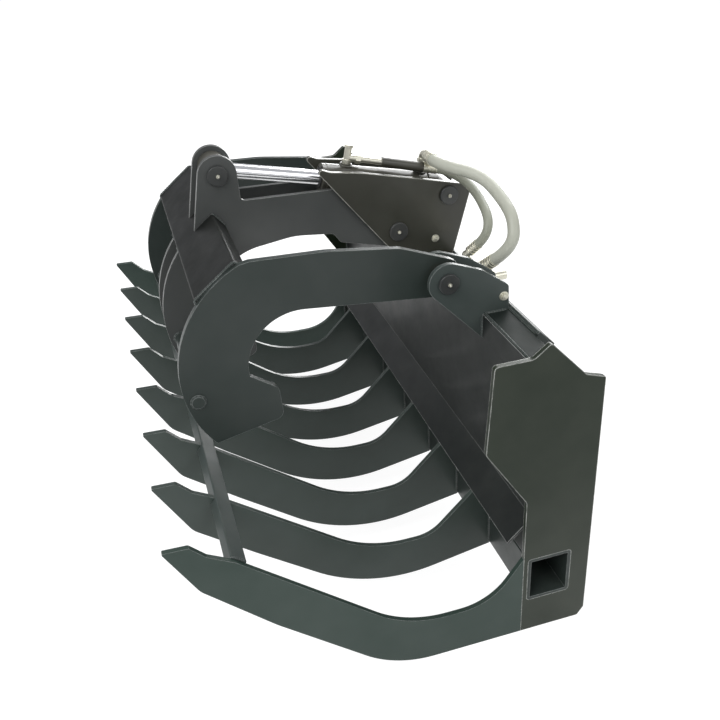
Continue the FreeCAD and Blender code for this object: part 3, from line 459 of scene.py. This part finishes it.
# Painted highlight: the pale edge colour of the mast plates paints the light caught along their edges.
MAST_PAINT = Finish(
    "painted_mast", "frame_paint", Coat.PAINT,
    (0.0285, 0.0290, 0.0210), (0.0395, 0.0400, 0.0310), (0.32, 0.48), edge=(0.60, 0.60, 0.54),
    clear=0.15, edge_wear_and_highlight=1.0, dust=0.12, round_edge=0.0018, edge_reach=0.0042, gloss=0.45)
CYLINDER_PAINT = Finish(
    "painted_cylinder", "cylinder_paint", Coat.PAINT,
    (0.040, 0.039, 0.030), (0.060, 0.058, 0.046), (0.30, 0.46), edge=(0.20, 0.20, 0.17),
    clear=0.2, edge_wear_and_highlight=0.5, dust=0.15)
PIN_STEEL = Finish(
    "blackened_pin", "pin_steel", Coat.STEEL,
    (0.045, 0.048, 0.047), (0.065, 0.067, 0.064), (0.30, 0.48), metallic=0.35, grain=500.0)
PLATED = Finish(
    "zinc_plate", "plated_fittings", Coat.STEEL,
    (0.62, 0.61, 0.52), (0.74, 0.72, 0.60), (0.25, 0.4), metallic=0.85, grain=420.0)
MACHINED = Finish(
    "turned_steel", "machined_steel", Coat.STEEL,
    (0.5, 0.5, 0.5), (0.6, 0.6, 0.6), (0.22, 0.34), metallic=1.0, grain=600.0)
ROD_CHROME = Finish(
    "hard_chrome", "rod_chrome", Coat.STEEL,
    (0.78, 0.79, 0.8), (0.84, 0.84, 0.85), (0.16, 0.24),
    metallic=1.0, grain=300.0, relief=0.000004)
BRONZE = Finish(
    "turned_bronze", "bush_bronze", Coat.STEEL,
    (0.48, 0.33, 0.15), (0.56, 0.40, 0.2), (0.3, 0.45), metallic=1.0, grain=500.0)
SEAL = Finish(
    "wiper_rubber", "seal_rubber", Coat.RUBBER,
    (0.02, 0.02, 0.02), (0.03, 0.03, 0.03), (0.6, 0.75), grain=900.0)
HOSE = Finish(
    "hose_sleeve", "hose_cover", Coat.WEAVE,
    (0.37, 0.38, 0.315), (0.47, 0.48, 0.41), (0.42, 0.58), grain=330.0, relief=0.00035)
HOSE_DARK = Finish(
    "hose_sleeve_dark", "hose_cover", Coat.WEAVE,
    (0.23, 0.24, 0.19), (0.34, 0.35, 0.29), (0.40, 0.55), grain=330.0, relief=0.0003)

SLOT_FINISH: dict[str, Finish] = {
    finish.slot: finish
    for finish in (FRAME_PAINT, CYLINDER_PAINT, PIN_STEEL, PLATED, MACHINED, ROD_CHROME, BRONZE, SEAL, HOSE)
}


class Carried:
    """The CAD nodes that stay as they are and take a better finish."""

    def special(self, name: str) -> Finish | None:
        """The finish of a node whose colour differs from its slot's, as a copy of the frame's paint made
        lighter for painted light or darker for painted shade on that part.

        Args:
            name: the CAD node.

        Returns:
            The finish, or None where the slot's own holds.
        """
        if name.startswith("end_plate"):
            return SHADED_PLATE_PAINT
        if name.startswith("mast_plate"):
            return MAST_PAINT
        if name.startswith("tine_"):
            return LIT_OUTER_TINE_PAINT if name in ("tine_1", "tine_8") else LIT_TINE_PAINT
        if name.startswith("jaw_arm_middle"):
            return LIT_ARM_PAINT
        if name in ("tip_crossbar", "hose_block") or name.startswith("hinge_ears"):
            return LIT_BRACE_PAINT
        if name == "jaw_shoulder_tube":
            return SHADED_BEAM_PAINT
        if name == "top_tube":
            return SHADED_TOP_PAINT
        return SHADED_SHEET_PAINT if name == "back_sheet" else None

    def dress(self) -> None:
        """Give each CAD node the finish of its record slot."""
        slots = {entry["node"]: entry["material_slot"] for entry in frame["record"]["subparts"]}
        for name, piece in frame["nodes"].items():
            finish = self.special(name) or SLOT_FINISH[slots[name]]
            piece.data.materials.clear()
            piece.data.materials.append(finish.build())
            LOG.info("%s takes %s", name, finish.name)


class Shop:
    """Small tools that turn a bmesh into a piece of the model."""

    @staticmethod
    def piece(name: str, build: bmesh.types.BMesh, finish: Finish, body: str) -> None:
        """Make a dressed object that rides on a body.

        Args:
            name: the piece's name.
            build: its shape, which is freed here.
            finish: its surface.
            body: the CAD body that carries it.
        """
        mesh = bpy.data.meshes.new(name)
        for face in build.faces:
            face.smooth = True
        build.to_mesh(mesh)
        build.free()
        mesh.set_sharp_from_angle(angle=SHARP_ANGLE)
        mesh.materials.append(finish.build())
        made = bpy.data.objects.new(name, mesh)
        bpy.context.collection.objects.link(made)
        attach(made, body)
        LOG.info("%s: %d faces on %s", name, len(mesh.polygons), body)

    @staticmethod
    def merge(target: bmesh.types.BMesh, part: bmesh.types.BMesh, place: Matrix) -> None:
        """Add a part to a larger shape.

        Args:
            target: the larger shape.
            part: the part, which is freed here.
            place: where the part goes.
        """
        bmesh.ops.transform(part, matrix=place, verts=part.verts)
        mesh = bpy.data.meshes.new("part")
        part.to_mesh(mesh)
        part.free()
        target.from_mesh(mesh)
        bpy.data.meshes.remove(mesh)

    @staticmethod
    def aim(start: Vector, direction: Vector) -> Matrix:
        """A placement whose Z runs along a direction from a start."""
        turn = direction.to_track_quat("Z", "Y").to_matrix().to_4x4()
        return Matrix.Translation(start) @ turn


@dataclass
class Bead:
    """A weld bead: a low rippled run along a line or round a bar.

    Attributes:
        radius: half the bead's width.
        pitch: the length of one ripple.
        ripple: how much a ripple swells, as a share of the radius.
        sides: how many faces go round the bead.
        cuts: how many cuts shape one ripple.
        tip: how wide the ends are, as a share of the bead.
    """

    radius: float = 0.0042
    pitch: float = 0.008
    ripple: float = 0.16
    sides: int = 6
    cuts: int = 3
    tip: float = 0.35

    def run(self, target: bmesh.types.BMesh, start: Vector, end: Vector) -> None:
        """Lay a straight bead between two places.

        Args:
            target: the shape that takes the bead.
            start: where the bead begins.
            end: where it ends.
        """
        line = end - start
        length = line.length
        rings = max(3, int(self.cuts * length / self.pitch))
        part = bmesh.new()
        bmesh.ops.create_cone(
            part, cap_ends=True, segments=self.sides,
            radius1=self.radius, radius2=self.radius, depth=length)
        long_edges = [edge for edge in part.edges if edge.calc_length() > 0.9 * length]
        bmesh.ops.subdivide_edges(part, edges=long_edges, cuts=rings, use_grid_fill=True)
        for vert in part.verts:
            share = vert.co.z / self.pitch * 2 * math.pi
            taper = min(1.0, self.tip + (length / 2 - abs(vert.co.z)) / (2 * self.radius))
            swell = (1 + self.ripple * math.sin(share)) * taper
            vert.co.x *= swell
            vert.co.y *= swell
        Shop.merge(target, part, Shop.aim((start + end) / 2, line))

    def ring(self, target: bmesh.types.BMesh, centre: Vector, axis: Vector, radius: float) -> None:
        """Lay a bead round a bar.

        Args:
            target: the shape that takes the bead.
            centre: the middle of the ring.
            axis: the bar's direction.
            radius: the bar's radius.
        """
        part = bmesh.new()
        steps = max(24, int(self.cuts * 2 * math.pi * radius / self.pitch))
        turn = Matrix.Translation((radius, 0, 0)) @ Matrix.Rotation(math.pi / 2, 4, "X")
        made = bmesh.ops.create_circle(part, segments=self.sides, radius=self.radius, matrix=turn)
        edges = list({edge for vert in made["verts"] for edge in vert.link_edges})
        bmesh.ops.spin(
            part, geom=made["verts"] + edges, cent=(0, 0, 0), axis=(0, 0, 1),
            angle=2 * math.pi, steps=steps, use_merge=True)
        bmesh.ops.remove_doubles(part, verts=part.verts, dist=0.00001)
        waves = max(4, round(2 * math.pi * radius / self.pitch))
        for vert in part.verts:
            around = math.atan2(vert.co.y, vert.co.x)
            middle = Vector((math.cos(around), math.sin(around), 0)) * radius
            vert.co = middle + (vert.co - middle) * (1 + self.ripple * math.sin(waves * around))
        bmesh.ops.recalc_face_normals(part, faces=part.faces)
        Shop.merge(target, part, Shop.aim(centre, axis))


@dataclass
class FrameWelds:
    """The beads that hold the frame together.

    Attributes:
        tine_half: half a tine's thickness.
        tube_front: the front of the bottom tube, counted from the tips.
        sheet_lean: how far back the sheet's top stands.
        tube_low: the height of the bottom tube's underside.
        tube_high: the height of the bottom tube's top.
        root_high: the height of the inner tines' roots.
        flange_edge: the lower edge of the sheet's flange.
        top_under: the height of the top tube's underside.
        top_high: the height of the top tube's top.
        sheet_top: how far back the sheet's top and the top tube's front stand.
        crossbar: the middle of the crossbar.
        crossbar_slope: how the crossbar's face leans, in degrees.
        crossbar_half: half the crossbar's thickness.
        crossbar_run: half the length of the beads at the crossbar.
        mast_places: the places across the width of the mast plates.
        ear_offset: from an outer arm's middle to its hinge ears.
        plate_seams: the two ends of each bead on an end plate's inside.
        ribs: the places across the width of the back ribs.
        rib_half: half a rib's thickness.
        rib_front: the two ends of a rib's front edge.
        sheet_back: how far back the sheet's beads are, at its foot and at its top.
        coupler_front: how far back the coupler plate's front is.
        tube_back: how far back the bottom tube's rear is.
        coupler_half: how far a bead along the coupler plate reaches sideways.
        bead: the bead of most joints.
    """

    tine_half: float = 6.0
    tube_front: float = 804.0
    sheet_lean: float = 28.0
    tube_low: float = 99.0
    tube_high: float = 226.0
    root_high: float = 335.0
    flange_edge: tuple[float, float] = (757.0, 281.7)
    top_under: float = 639.0
    top_high: float = 703.0
    sheet_top: float = 832.0
    crossbar: tuple[float, float] = (142.0, 424.5)
    crossbar_slope: float = -36.0
    crossbar_half: float = 12.5
    crossbar_run: float = 16.0
    mast_places: tuple[float, float] = (62.0, -62.0)
    ear_offset: float = 37.0
    plate_seams: tuple = (
        ((804, 226), (914, 226)), ((804, 101), (804, 226)), ((804, 226), (832, 639)),
        ((832, 639), (832, 703)), ((838, 703), (900, 703)), ((914, 101), (914, 226)),
        ((902, 641), (902, 701)), ((792, 4), (792, 230)))
    ribs: tuple[float, ...] = (-400.0, -190.0, 190.0, 400.0)
    rib_half: float = 4.0
    rib_front: tuple = ((811, 232), (837, 635))
    sheet_back: tuple[float, float] = (810.0, 838.0)
    coupler_front: float = 902.0
    tube_back: float = 914.0
    coupler_half: float = 556.0
    bead: Bead = field(default_factory=Bead)

    def tine_middles(self) -> list[float]:
        """The places across the width of the inner tines."""
        return [OUTER_TINE - index * TINE_PITCH for index in range(1, 7)]

    def sheet_y(self, z: float) -> float:
        """How far back the sheet's face is at a height."""
        share = (z - self.tube_high) / (self.top_under - self.tube_high)
        return self.tube_front + self.sheet_lean * min(max(share, 0), 1)

    def tine_roots(self) -> None:
        """Weld each inner tine to the bottom tube and the back sheet."""
        build = bmesh.new()
        for middle in self.tine_middles():
            for edge in (-self.tine_half, self.tine_half):
                x = middle + edge
                low = side(x, self.tube_front, self.tube_low + 3)
                knee = side(x, self.tube_front, self.tube_high)
                top = side(x, self.sheet_y(self.root_high), self.root_high - 3)
                self.bead.run(build, low, knee)
                self.bead.run(build, knee, top)
                self.bead.run(build, side(x, self.flange_edge[0] + 3, self.flange_edge[1] + 3), top)
        Shop.piece("tine_root_welds", build, FRAME_PAINT, "frame")

    def crossbar_seats(self) -> None:
        """Weld the crossbar to the tines it rests in."""
        build = bmesh.new()
        small = Bead(radius=0.003, pitch=0.006)
        slope = math.radians(self.crossbar_slope)
        half_run = Vector((0, math.cos(slope), math.sin(slope))) * self.crossbar_run / 1000
        up = Vector((0, -math.sin(slope), math.cos(slope))) * self.crossbar_half / 1000
        for x in (OUTER_TINE, *self.tine_middles(), -OUTER_TINE):
            for edge in (-self.tine_half, self.tine_half):
                if abs(x + edge) > OUTER_TINE:
                    continue
                foot = side(x + edge, *self.crossbar)
                faces = (-up, up) if abs(x) == OUTER_TINE else (-up,)
                for face in faces:
                    small.run(build, foot + face - half_run, foot + face + half_run)
        Shop.piece("crossbar_welds", build, FRAME_PAINT, "frame")

    def ears(self) -> None:
        """Weld the hinge ears and the mast plates to the top tube and the sheet."""
        build = bmesh.new()
        plates = list(self.mast_places)
        for arm in (ARM_PLACE, -ARM_PLACE):
            plates.extend((arm - self.ear_offset, arm + self.ear_offset))
        for middle in plates:
            for edge in (-self.tine_half, self.tine_half):
                x = middle + edge
                front = self.sheet_top
                self.bead.run(build, side(x, front + 2, self.top_high), side(x, front + 64, self.top_high))
                self.bead.run(
                    build, side(x, front, self.top_under + 2), side(x, front, self.top_high - 2))
        Shop.piece("ear_welds", build, FRAME_PAINT, "frame")

    def end_plates(self) -> None:
        """Weld the tubes, the sheet and the outer tines to the end plates."""
        build = bmesh.new()
        for x in (PLATE_INSIDE, -PLATE_INSIDE):
            for start, end in self.plate_seams:
                self.bead.run(build, side(x, *start), side(x, *end))
        Shop.piece("end_plate_welds", build, FRAME_PAINT, "frame")

    def long_seams(self) -> None:
        """Weld the sheet to the tubes and the coupler to the frame."""
        build = bmesh.new()
        long_bead = Bead(radius=0.0038, pitch=0.012)
        inside = PLATE_INSIDE - 2
        outer_rib = self.ribs[-1]
        back = self.coupler_front
        for y, z in zip(self.sheet_back, (self.tube_high, self.top_high)):
            long_bead.run(build, side(-inside, y, z), side(inside, y, z))
        for start, end in ((-self.coupler_half - 1, -outer_rib), (outer_rib, self.coupler_half + 1)):
            low = self.top_under + 2
            long_bead.run(build, side(start, back, low), side(end, back, low))
        rib_back = ((back, self.tube_high + 2), (back, self.top_under - 2))
        for x in self.ribs:
            for edge in (-self.rib_half, self.rib_half):
                for start, end in (rib_back, self.rib_front):
                    long_bead.run(build, side(x + edge, *start), side(x + edge, *end))
        for y, z in ((back, self.top_high), (self.tube_back, self.tube_high)):
            long_bead.run(build, side(-self.coupler_half, y, z), side(self.coupler_half, y, z))
        Shop.piece("long_seam_welds", build, FRAME_PAINT, "frame")

    def build(self) -> None:
        """Lay every bead of the frame."""
        self.tine_roots()
        self.crossbar_seats()
        self.ears()
        self.end_plates()
        self.long_seams()


@dataclass
class JawWelds:
    """The beads between the jaw's arms, its shoulder tube and its toe bar.

    Attributes:
        hook: the middle of the hook's circles.
        outer: the radius of the hook's outside.
        shoulder_angle: where the shoulder tube sits on the hook, in degrees.
        shoulder_face: the width of the shoulder tube's wide face.
        shoulder_depth: the shoulder tube's depth.
        shoulder_proud: how far the shoulder tube stands out of the hook.
        shoulder_faces: the sides of the arms where they meet the shoulder tube.
        bar_faces: the sides of the arms where they meet the toe bar.
        middle_faces: the sides of the middle arms, which hide the tube's outer side.
        bush_faces: the ends of the outer arms' hinge bushes.
        bar_inset: from the hook's outside to the toe bar's middle.
        bar_angle: where the toe bar sits on the hook, in degrees.
        bar_radius: the toe bar's radius, in metres.
        bush_radius: the hinge bushes' radius, in metres.
        bead: the bead of every joint.
    """

    hook: tuple[float, float] = (397.0, 655.0)
    outer: float = 290.0
    shoulder_angle: float = 128.0
    shoulder_face: float = 127.0
    shoulder_depth: float = 51.0
    shoulder_proud: float = 0.5
    shoulder_faces: tuple[int, ...] = (-370, 370, -54, -42, 42, 54)
    bar_faces: tuple[int, ...] = (-386, -370, -54, -42, 42, 54, 370, 386)
    middle_faces: tuple[int, ...] = (-54, -42, 42, 54)
    bush_faces: tuple[int, ...] = (-386, -370, 370, 386)
    bar_inset: float = 28.0
    bar_angle: float = 192.0
    bar_radius: float = 0.015
    bush_radius: float = 0.030
    bead: Bead = field(default_factory=lambda: Bead(radius=0.0045))

    def polar(self, radius: float, degrees: float) -> tuple[float, float]:
        """The place at an angle on a circle round the hook's middle."""
        turn = math.radians(degrees)
        return self.hook[0] + radius * math.cos(turn), self.hook[1] + radius * math.sin(turn)

    def shoulder_corners(self, x: float) -> list[Vector]:
        """Find the corners of the shoulder tube's outline.

        Args:
            x: the place across the width.

        Returns:
            The four corners, in order round the tube.
        """
        y, z = self.polar(self.outer + self.shoulder_proud - self.shoulder_depth / 2, self.shoulder_angle)
        turn = math.radians(self.shoulder_angle)
        out = Vector((0, math.cos(turn), math.sin(turn)))
        across = Vector((0, -out.z, out.y))
        middle = side(x, y, z)
        half_depth = (self.shoulder_depth / 2 - 1) / 1000
        half_face = (self.shoulder_face / 2 - 1) / 1000
        signs = ((1, 1), (1, -1), (-1, -1), (-1, 1))
        return [middle + out * half_depth * a + across * half_face * b for a, b in signs]

    def build(self) -> None:
        """Lay every bead of the jaw."""
        build = bmesh.new()
        across = Vector((1, 0, 0))
        for x in self.shoulder_faces:
            corners = self.shoulder_corners(x)
            runs = list(zip(corners, corners[1:] + corners[:1]))
            if x in self.middle_faces:
                runs = runs[1:]
            for corner, following in runs:
                self.bead.run(build, corner, following)
        bar = self.polar(self.outer - self.bar_inset, self.bar_angle)
        for x in self.bar_faces:
            self.bead.ring(build, side(x, *bar), across, self.bar_radius)
        for x in self.bush_faces:
            self.bead.ring(build, side(x, *PIVOT), across, self.bush_radius)
        Shop.piece("jaw_welds", build, FRAME_PAINT, "jaw")


@dataclass
class CylinderTrim:
    """The welds and small details on the hydraulic cylinder.

    Attributes:
        barrel: the barrel's radius.
        base_end: from the foot pin to the barrel's start.
        gland_face: from the foot pin to the gland's face.
        ports: from the foot pin to the two ports.
        port_radius: the ports' radius, in metres.
        studs: how many studs the gland has.
        stud_circle: the radius of the circle that they stand on, in metres.
        stud_turn: where the first one stands, in radians.
    """

    barrel: float = 38.0
    base_end: float = 44.0
    gland_face: float = 337.0
    ports: tuple[float, float] = (66.0, 272.0)
    port_radius: float = 0.015
    studs: int = 6
    stud_circle: float = 0.031
    stud_turn: float = 0.26

    def axis(self) -> Vector:
        """The direction from the foot to the rod's pin."""
        return (side(0, *ROD_PIN) - side(0, *FOOT_PIN)).normalized()

    def along(self, distance: float, lift: float = 0.0) -> Vector:
        """Find a place on the cylinder's axis, or lifted off it.

        Args:
            distance: how far it is from the foot pin, in millimetres.
            lift: how far it is above the axis, in millimetres.

        Returns:
            The place in the row frame.
        """
        line = self.axis()
        up = Vector((0, line.z, -line.y))
        return side(0, *FOOT_PIN) + line * distance / 1000 + up * lift / 1000

    def gland_studs(self, build: bmesh.types.BMesh) -> None:
        """Add the small studs round the gland's flange.

        Args:
            build: the shape that takes them.
        """
        face = Shop.aim(self.along(self.gland_face), self.axis())
        for index in range(self.studs):
            part = bmesh.new()
            bmesh.ops.create_cone(
                part, cap_ends=True, segments=12, radius1=0.0032, radius2=0.0028, depth=0.003)
            turn = Matrix.Rotation(index * 2 * math.pi / self.studs + self.stud_turn, 4, "Z")
            Shop.merge(build, part, face @ turn @ Matrix.Translation((self.stud_circle, 0, 0)))

    def build(self) -> None:
        """Make the barrel's beads and the gland's studs."""
        line = self.axis()
        welds = bmesh.new()
        Bead().ring(welds, self.along(self.base_end), line, self.barrel / 1000)
        up = Vector((0, line.z, -line.y))
        small = Bead(radius=0.003, pitch=0.005)
        for distance in self.ports:
            small.ring(welds, self.along(distance, self.barrel - 0.5), up, self.port_radius)
        Shop.piece("barrel_welds", welds, CYLINDER_PAINT, "barrel")
        studs = bmesh.new()
        self.gland_studs(studs)
        Shop.piece("gland_studs", studs, SEAL, "barrel")


@dataclass
class Fasteners:
    """Bright grease fittings and bolts on the pins and plates.

    Attributes:
        pin_heads: the body that each pin head is on, how far out its face is, and the pin's place.
        bolts: the foot of each bolt on a plate's side, and the size of its head.
        fitting_steps: sides, two radii, start and length of the parts of a grease fitting.
        bolt_steps: sides, radius as a share of the size, start and length of the parts of a bolt.
    """

    pin_heads: tuple = (
        ("frame", 429, PIVOT), ("frame", -429, PIVOT), ("frame", 76, PIVOT),
        ("frame", 76, FOOT_PIN), ("jaw", 63, ROD_PIN))
    bolts: tuple = ((68, 849, 762, 7.5), (421, 886, 741, 8.5))
    fitting_steps: tuple = ((6, 5.0, 5.0, -0.5, 4.5), (16, 2.6, 2.2, 4.0, 3.0), (16, 3.0, 1.4, 7.0, 3.0))
    bolt_steps: tuple = ((24, 1.45, -0.5, 2.3), (6, 1.0, 1.8, 5.5), (12, 0.45, 7.3, 1.6))

    def step(
            self, build: bmesh.types.BMesh, place: Matrix, sides: int,
            radii: tuple[float, float], start: float, length: float) -> None:
        """Add one round or many-sided step of a fitting, in millimetres.

        Args:
            build: the shape that takes it.
            place: where the fitting stands, with Z pointing out.
            sides: how many sides the step has.
            radii: its radius at its foot and at its top.
            start: how far out it starts.
            length: how long it is.
        """
        part = bmesh.new()
        bmesh.ops.create_cone(
            part, cap_ends=True, segments=sides, radius1=radii[0] / 1000, radius2=radii[1] / 1000,
            depth=length / 1000)
        Shop.merge(build, part, place @ Matrix.Translation((0, 0, (start + length / 2) / 1000)))

    def fitting(self, build: bmesh.types.BMesh, foot: Vector, out: Vector) -> None:
        """Add one grease fitting: a hexagon, a neck and a ball.

        Args:
            build: the shape that takes it.
            foot: where it stands.
            out: which way it points.
        """
        place = Shop.aim(foot, out)
        for sides, low, high, start, length in self.fitting_steps:
            self.step(build, place, sides, (low, high), start, length)

    def bolt(self, build: bmesh.types.BMesh, foot: Vector, out: Vector, size: float) -> None:
        """Add one washer and hexagon head.

        Args:
            build: the shape that takes it.
            foot: where it stands.
            out: which way it points.
            size: the hexagon's corner radius, in millimetres.
        """
        place = Shop.aim(foot, out)
        for sides, share, start, length in self.bolt_steps:
            self.step(build, place, sides, (share * size, 0.94 * share * size), start, length)

    def build(self) -> None:
        """Make the fittings of the pins and the bolts of the plates."""
        for body in ("frame", "jaw"):
            build = bmesh.new()
            for owner, x, pin in self.pin_heads:
                if owner == body:
                    self.fitting(build, side(x, *pin), Vector((math.copysign(1, x), 0, 0)))
            Shop.piece("pin_fittings_" + body, build, PLATED, body)
        build = bmesh.new()
        for x, y, z, size in self.bolts:
            self.bolt(build, side(x, y, z), Vector((1, 0, 0)), size)
        Shop.piece("plate_bolts", build, PLATED, "frame")


@dataclass
class Hoses:
    """The two hydraulic hoses, from the barrel's fittings to the block on the frame.

    Attributes:
        inner_radius: half the inner hose's diameter, in metres.
        outer_radius: half the outer hose's diameter, which has a sleeve.
        inner: the route of the hose of the front port.
        outer: the route of the hose of the back port.
    """

    inner_radius: float = 0.012
    outer_radius: float = 0.015
    inner: tuple = (
        (36.6, 866.1, 942.6), (42.4, 902.7, 934.1), (122, 942, 903), (272, 926, 848), (234.7, 900.7, 800.7))
    outer: tuple = (
        (71, 843.7, 979.6), (121, 843.7, 979.6), (202, 920, 968), (286, 939, 932),
        (352, 940, 900), (380, 926, 842), (333.5, 900, 796.7))

    def tube(self, name: str, route: tuple, radius: float, node: str, finish: Finish) -> None:
        """Make one hose along its route.

        Args:
            name: the piece's name.
            route: the control points of its line.
            radius: half its diameter, in metres.
            node: the CAD solid that it stands for.
            finish: its cover.
        """
        curve = bpy.data.curves.new(name, "CURVE")
        curve.dimensions = "3D"
        curve.bevel_depth = radius
        curve.bevel_resolution = 6
        curve.resolution_u = 20
        curve.use_fill_caps = True
        spline = curve.splines.new("NURBS")
        spline.points.add(len(route) - 1)
        for point, place in zip(spline.points, route):
            point.co = (*side(*place), 1)
        spline.order_u = 3
        spline.use_endpoint_u = True
        line = bpy.data.objects.new(name + "_line", curve)
        bpy.context.collection.objects.link(line)
        bpy.context.view_layer.update()
        shaped = line.evaluated_get(bpy.context.evaluated_depsgraph_get())
        mesh = bpy.data.meshes.new_from_object(shaped)
        mesh.name = name
        bpy.data.objects.remove(line)
        mesh.materials.clear()
        mesh.materials.append(finish.build())
        mesh.polygons.foreach_set("use_smooth", [True] * len(mesh.polygons))
        hose = bpy.data.objects.new(name, mesh)
        bpy.context.collection.objects.link(hose)
        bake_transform(hose)
        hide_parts(node)
        LOG.info("%s: %d faces", name, len(mesh.polygons))

    def build(self) -> None:
        """Make both hoses."""
        self.tube("hose_inner_cover", self.inner, self.inner_radius, "hose_inner", HOSE_DARK)
        self.tube("hose_outer_cover", self.outer, self.outer_radius, "hose_outer", HOSE)


@dataclass
class Studio:
    """The camera, the lamps and the pale floor.

    Attributes:
        eye: where the camera stands.
        right: the camera's right, in the frame.
        forward: where the camera looks.
        field_of_view: the angle across the square picture.
        lamps: the name, place, aim, size in metres and power in watts of each lamp.
        floor_size: half the floor's width.
        floor_drop: how far the floor lies under the object, so that they don't touch.
        floor_bounce: how much light the floor sends back.
        floor_seen: the floor's own shade where it is seen, under its glow.
        floor_glow: how strongly it glows where it is seen.
        room_light: how strongly the room lights the object.
        room_colour: the colour of the room's light.
    """

    eye: Vector = field(default_factory=lambda: side(2119.4, 63.2, 1668.4))
    right: Vector = field(default_factory=lambda: Vector((0.29165, 0.95488, -0.05608)))
    forward: Vector = field(default_factory=lambda: Vector((-0.83466, 0.22541, -0.50253)))
    field_of_view: float = 2 * math.atan(360 / 870)
    lamps: tuple = (
        ("key", (2.4, -3.3, 5.0), (0, 0, 0.4), 3.8, 225),
        ("fill", (5.2, 3.0, 3.8), (0, 0, 0.4), 4.0, 95),
        ("rim", (-1.8, 2.4, 3.4), (0, 0, 0.5), 2.2, 100),
        ("edge", (-4.2, 2.7, 1.2), (0, 0, 0.6), 2.6, 190))
    floor_size: float = 14.0
    floor_drop: float = 0.0005
    floor_bounce: float = 0.93
    floor_seen: float = 0.25
    floor_glow: float = 0.9
    room_light: float = 0.5
    room_colour: tuple = (0.95, 0.96, 1.0, 1)

    def camera(self) -> None:
        """Place the camera at the photograph's viewing angle."""
        data = bpy.data.cameras.new("camera")
        data.sensor_fit = "HORIZONTAL"
        data.angle = self.field_of_view
        data.clip_start = 0.05
        camera = bpy.data.objects.new("camera", data)
        bpy.context.collection.objects.link(camera)
        forward = self.forward.normalized()
        right = (self.right - forward * self.right.dot(forward)).normalized()
        up = right.cross(forward)
        turn = Matrix((right, up, -forward)).transposed().to_4x4()
        camera.matrix_world = Matrix.Translation(self.eye) @ turn
        bpy.context.scene.camera = camera

    def lamp(self, name: str, place: tuple, aim: tuple, size: float, power: float) -> None:
        """Hang one soft lamp.

        Args:
            name: the lamp's name.
            place: where it hangs.
            aim: what it looks at.
            size: the side of its square.
            power: its power in watts.
        """
        data = bpy.data.lights.new(name, "AREA")
        data.size = size
        data.energy = power
        lamp = bpy.data.objects.new(name, data)
        bpy.context.collection.objects.link(lamp)
        look = Vector(aim) - Vector(place)
        lamp.matrix_world = Matrix.Translation(place) @ look.to_track_quat("-Z", "Y").to_matrix().to_4x4()

    def floor(self) -> None:
        """Lay a pale floor that stays white to the camera but keeps the shadow."""
        mesh = bpy.data.meshes.new("floor")
        build = bmesh.new()
        bmesh.ops.create_grid(build, x_segments=1, y_segments=1, size=self.floor_size)
        build.to_mesh(mesh)
        build.free()
        floor = bpy.data.objects.new("floor", mesh)
        floor.location.z = -self.floor_drop
        bpy.context.collection.objects.link(floor)
        material = bpy.data.materials.new("studio_floor")
        material.use_nodes = True
        tree = material.node_tree
        shader = tree.nodes["Principled BSDF"]
        shader.inputs["Roughness"].default_value = 0.9
        shader.inputs["Specular IOR Level"].default_value = 0.0
        shader.inputs["Emission Color"].default_value = (1, 1, 1, 1)
        seen = self.seen_directly(tree)
        colour = tree.nodes.new("ShaderNodeMix")
        colour.data_type = "RGBA"
        colour.inputs["A"].default_value = (*[self.floor_bounce] * 3, 1)
        colour.inputs["B"].default_value = (*[self.floor_seen] * 3, 1)
        tree.links.new(seen, colour.inputs["Factor"])
        tree.links.new(colour.outputs["Result"], shader.inputs["Base Color"])
        glow = tree.nodes.new("ShaderNodeMath")
        glow.operation = "MULTIPLY"
        glow.inputs[1].default_value = self.floor_glow
        tree.links.new(seen, glow.inputs[0])
        tree.links.new(glow.outputs[0], shader.inputs["Emission Strength"])
        mesh.materials.append(material)

    def seen_directly(self, tree: bpy.types.NodeTree) -> Socket:
        """Tell rays of the picture and of reflections from rays that carry light.

        Args:
            tree: the nodes of the floor or the world.

        Returns:
            A value that is 1 for what the camera, a reflection or a clear piece shows.
        """
        path = tree.nodes.new("ShaderNodeLightPath")
        either = path.outputs["Is Camera Ray"]
        for other in ("Is Glossy Ray", "Is Transmission Ray"):
            most = tree.nodes.new("ShaderNodeMath")
            most.operation = "MAXIMUM"
            tree.links.new(either, most.inputs[0])
            tree.links.new(path.outputs[other], most.inputs[1])
            either = most.outputs[0]
        return either

    def world(self) -> None:
        """Fill the room with even pale light, and show it as white."""
        world = bpy.data.worlds.new("studio")
        bpy.context.scene.world = world
        world.use_nodes = True
        tree = world.node_tree
        background = tree.nodes["Background"]
        background.inputs["Color"].default_value = self.room_colour
        strength = tree.nodes.new("ShaderNodeMapRange")
        path = tree.nodes.new("ShaderNodeLightPath")
        tree.links.new(path.outputs["Is Camera Ray"], strength.inputs["Value"])
        strength.inputs["To Min"].default_value = self.room_light
        strength.inputs["To Max"].default_value = 1.0
        tree.links.new(strength.outputs["Result"], background.inputs["Strength"])

    def build(self) -> None:
        """Set up everything round the object."""
        self.camera()
        self.floor()
        self.world()
        for name, place, aim, size, power in self.lamps:
            self.lamp(name, place, aim, size, power)
        bpy.context.scene.view_settings.view_transform = "Standard"
        LOG.info("studio is set")


def main() -> None:
    """Build every sub-assembly in order."""
    logging.basicConfig(level=logging.INFO, format="%(message)s")
    Studio().build()
    Hoses().build()
    Carried().dress()
    FrameWelds().build()
    JawWelds().build()
    CylinderTrim().build()
    Fasteners().build()


if __name__ == "__main__":
    main()
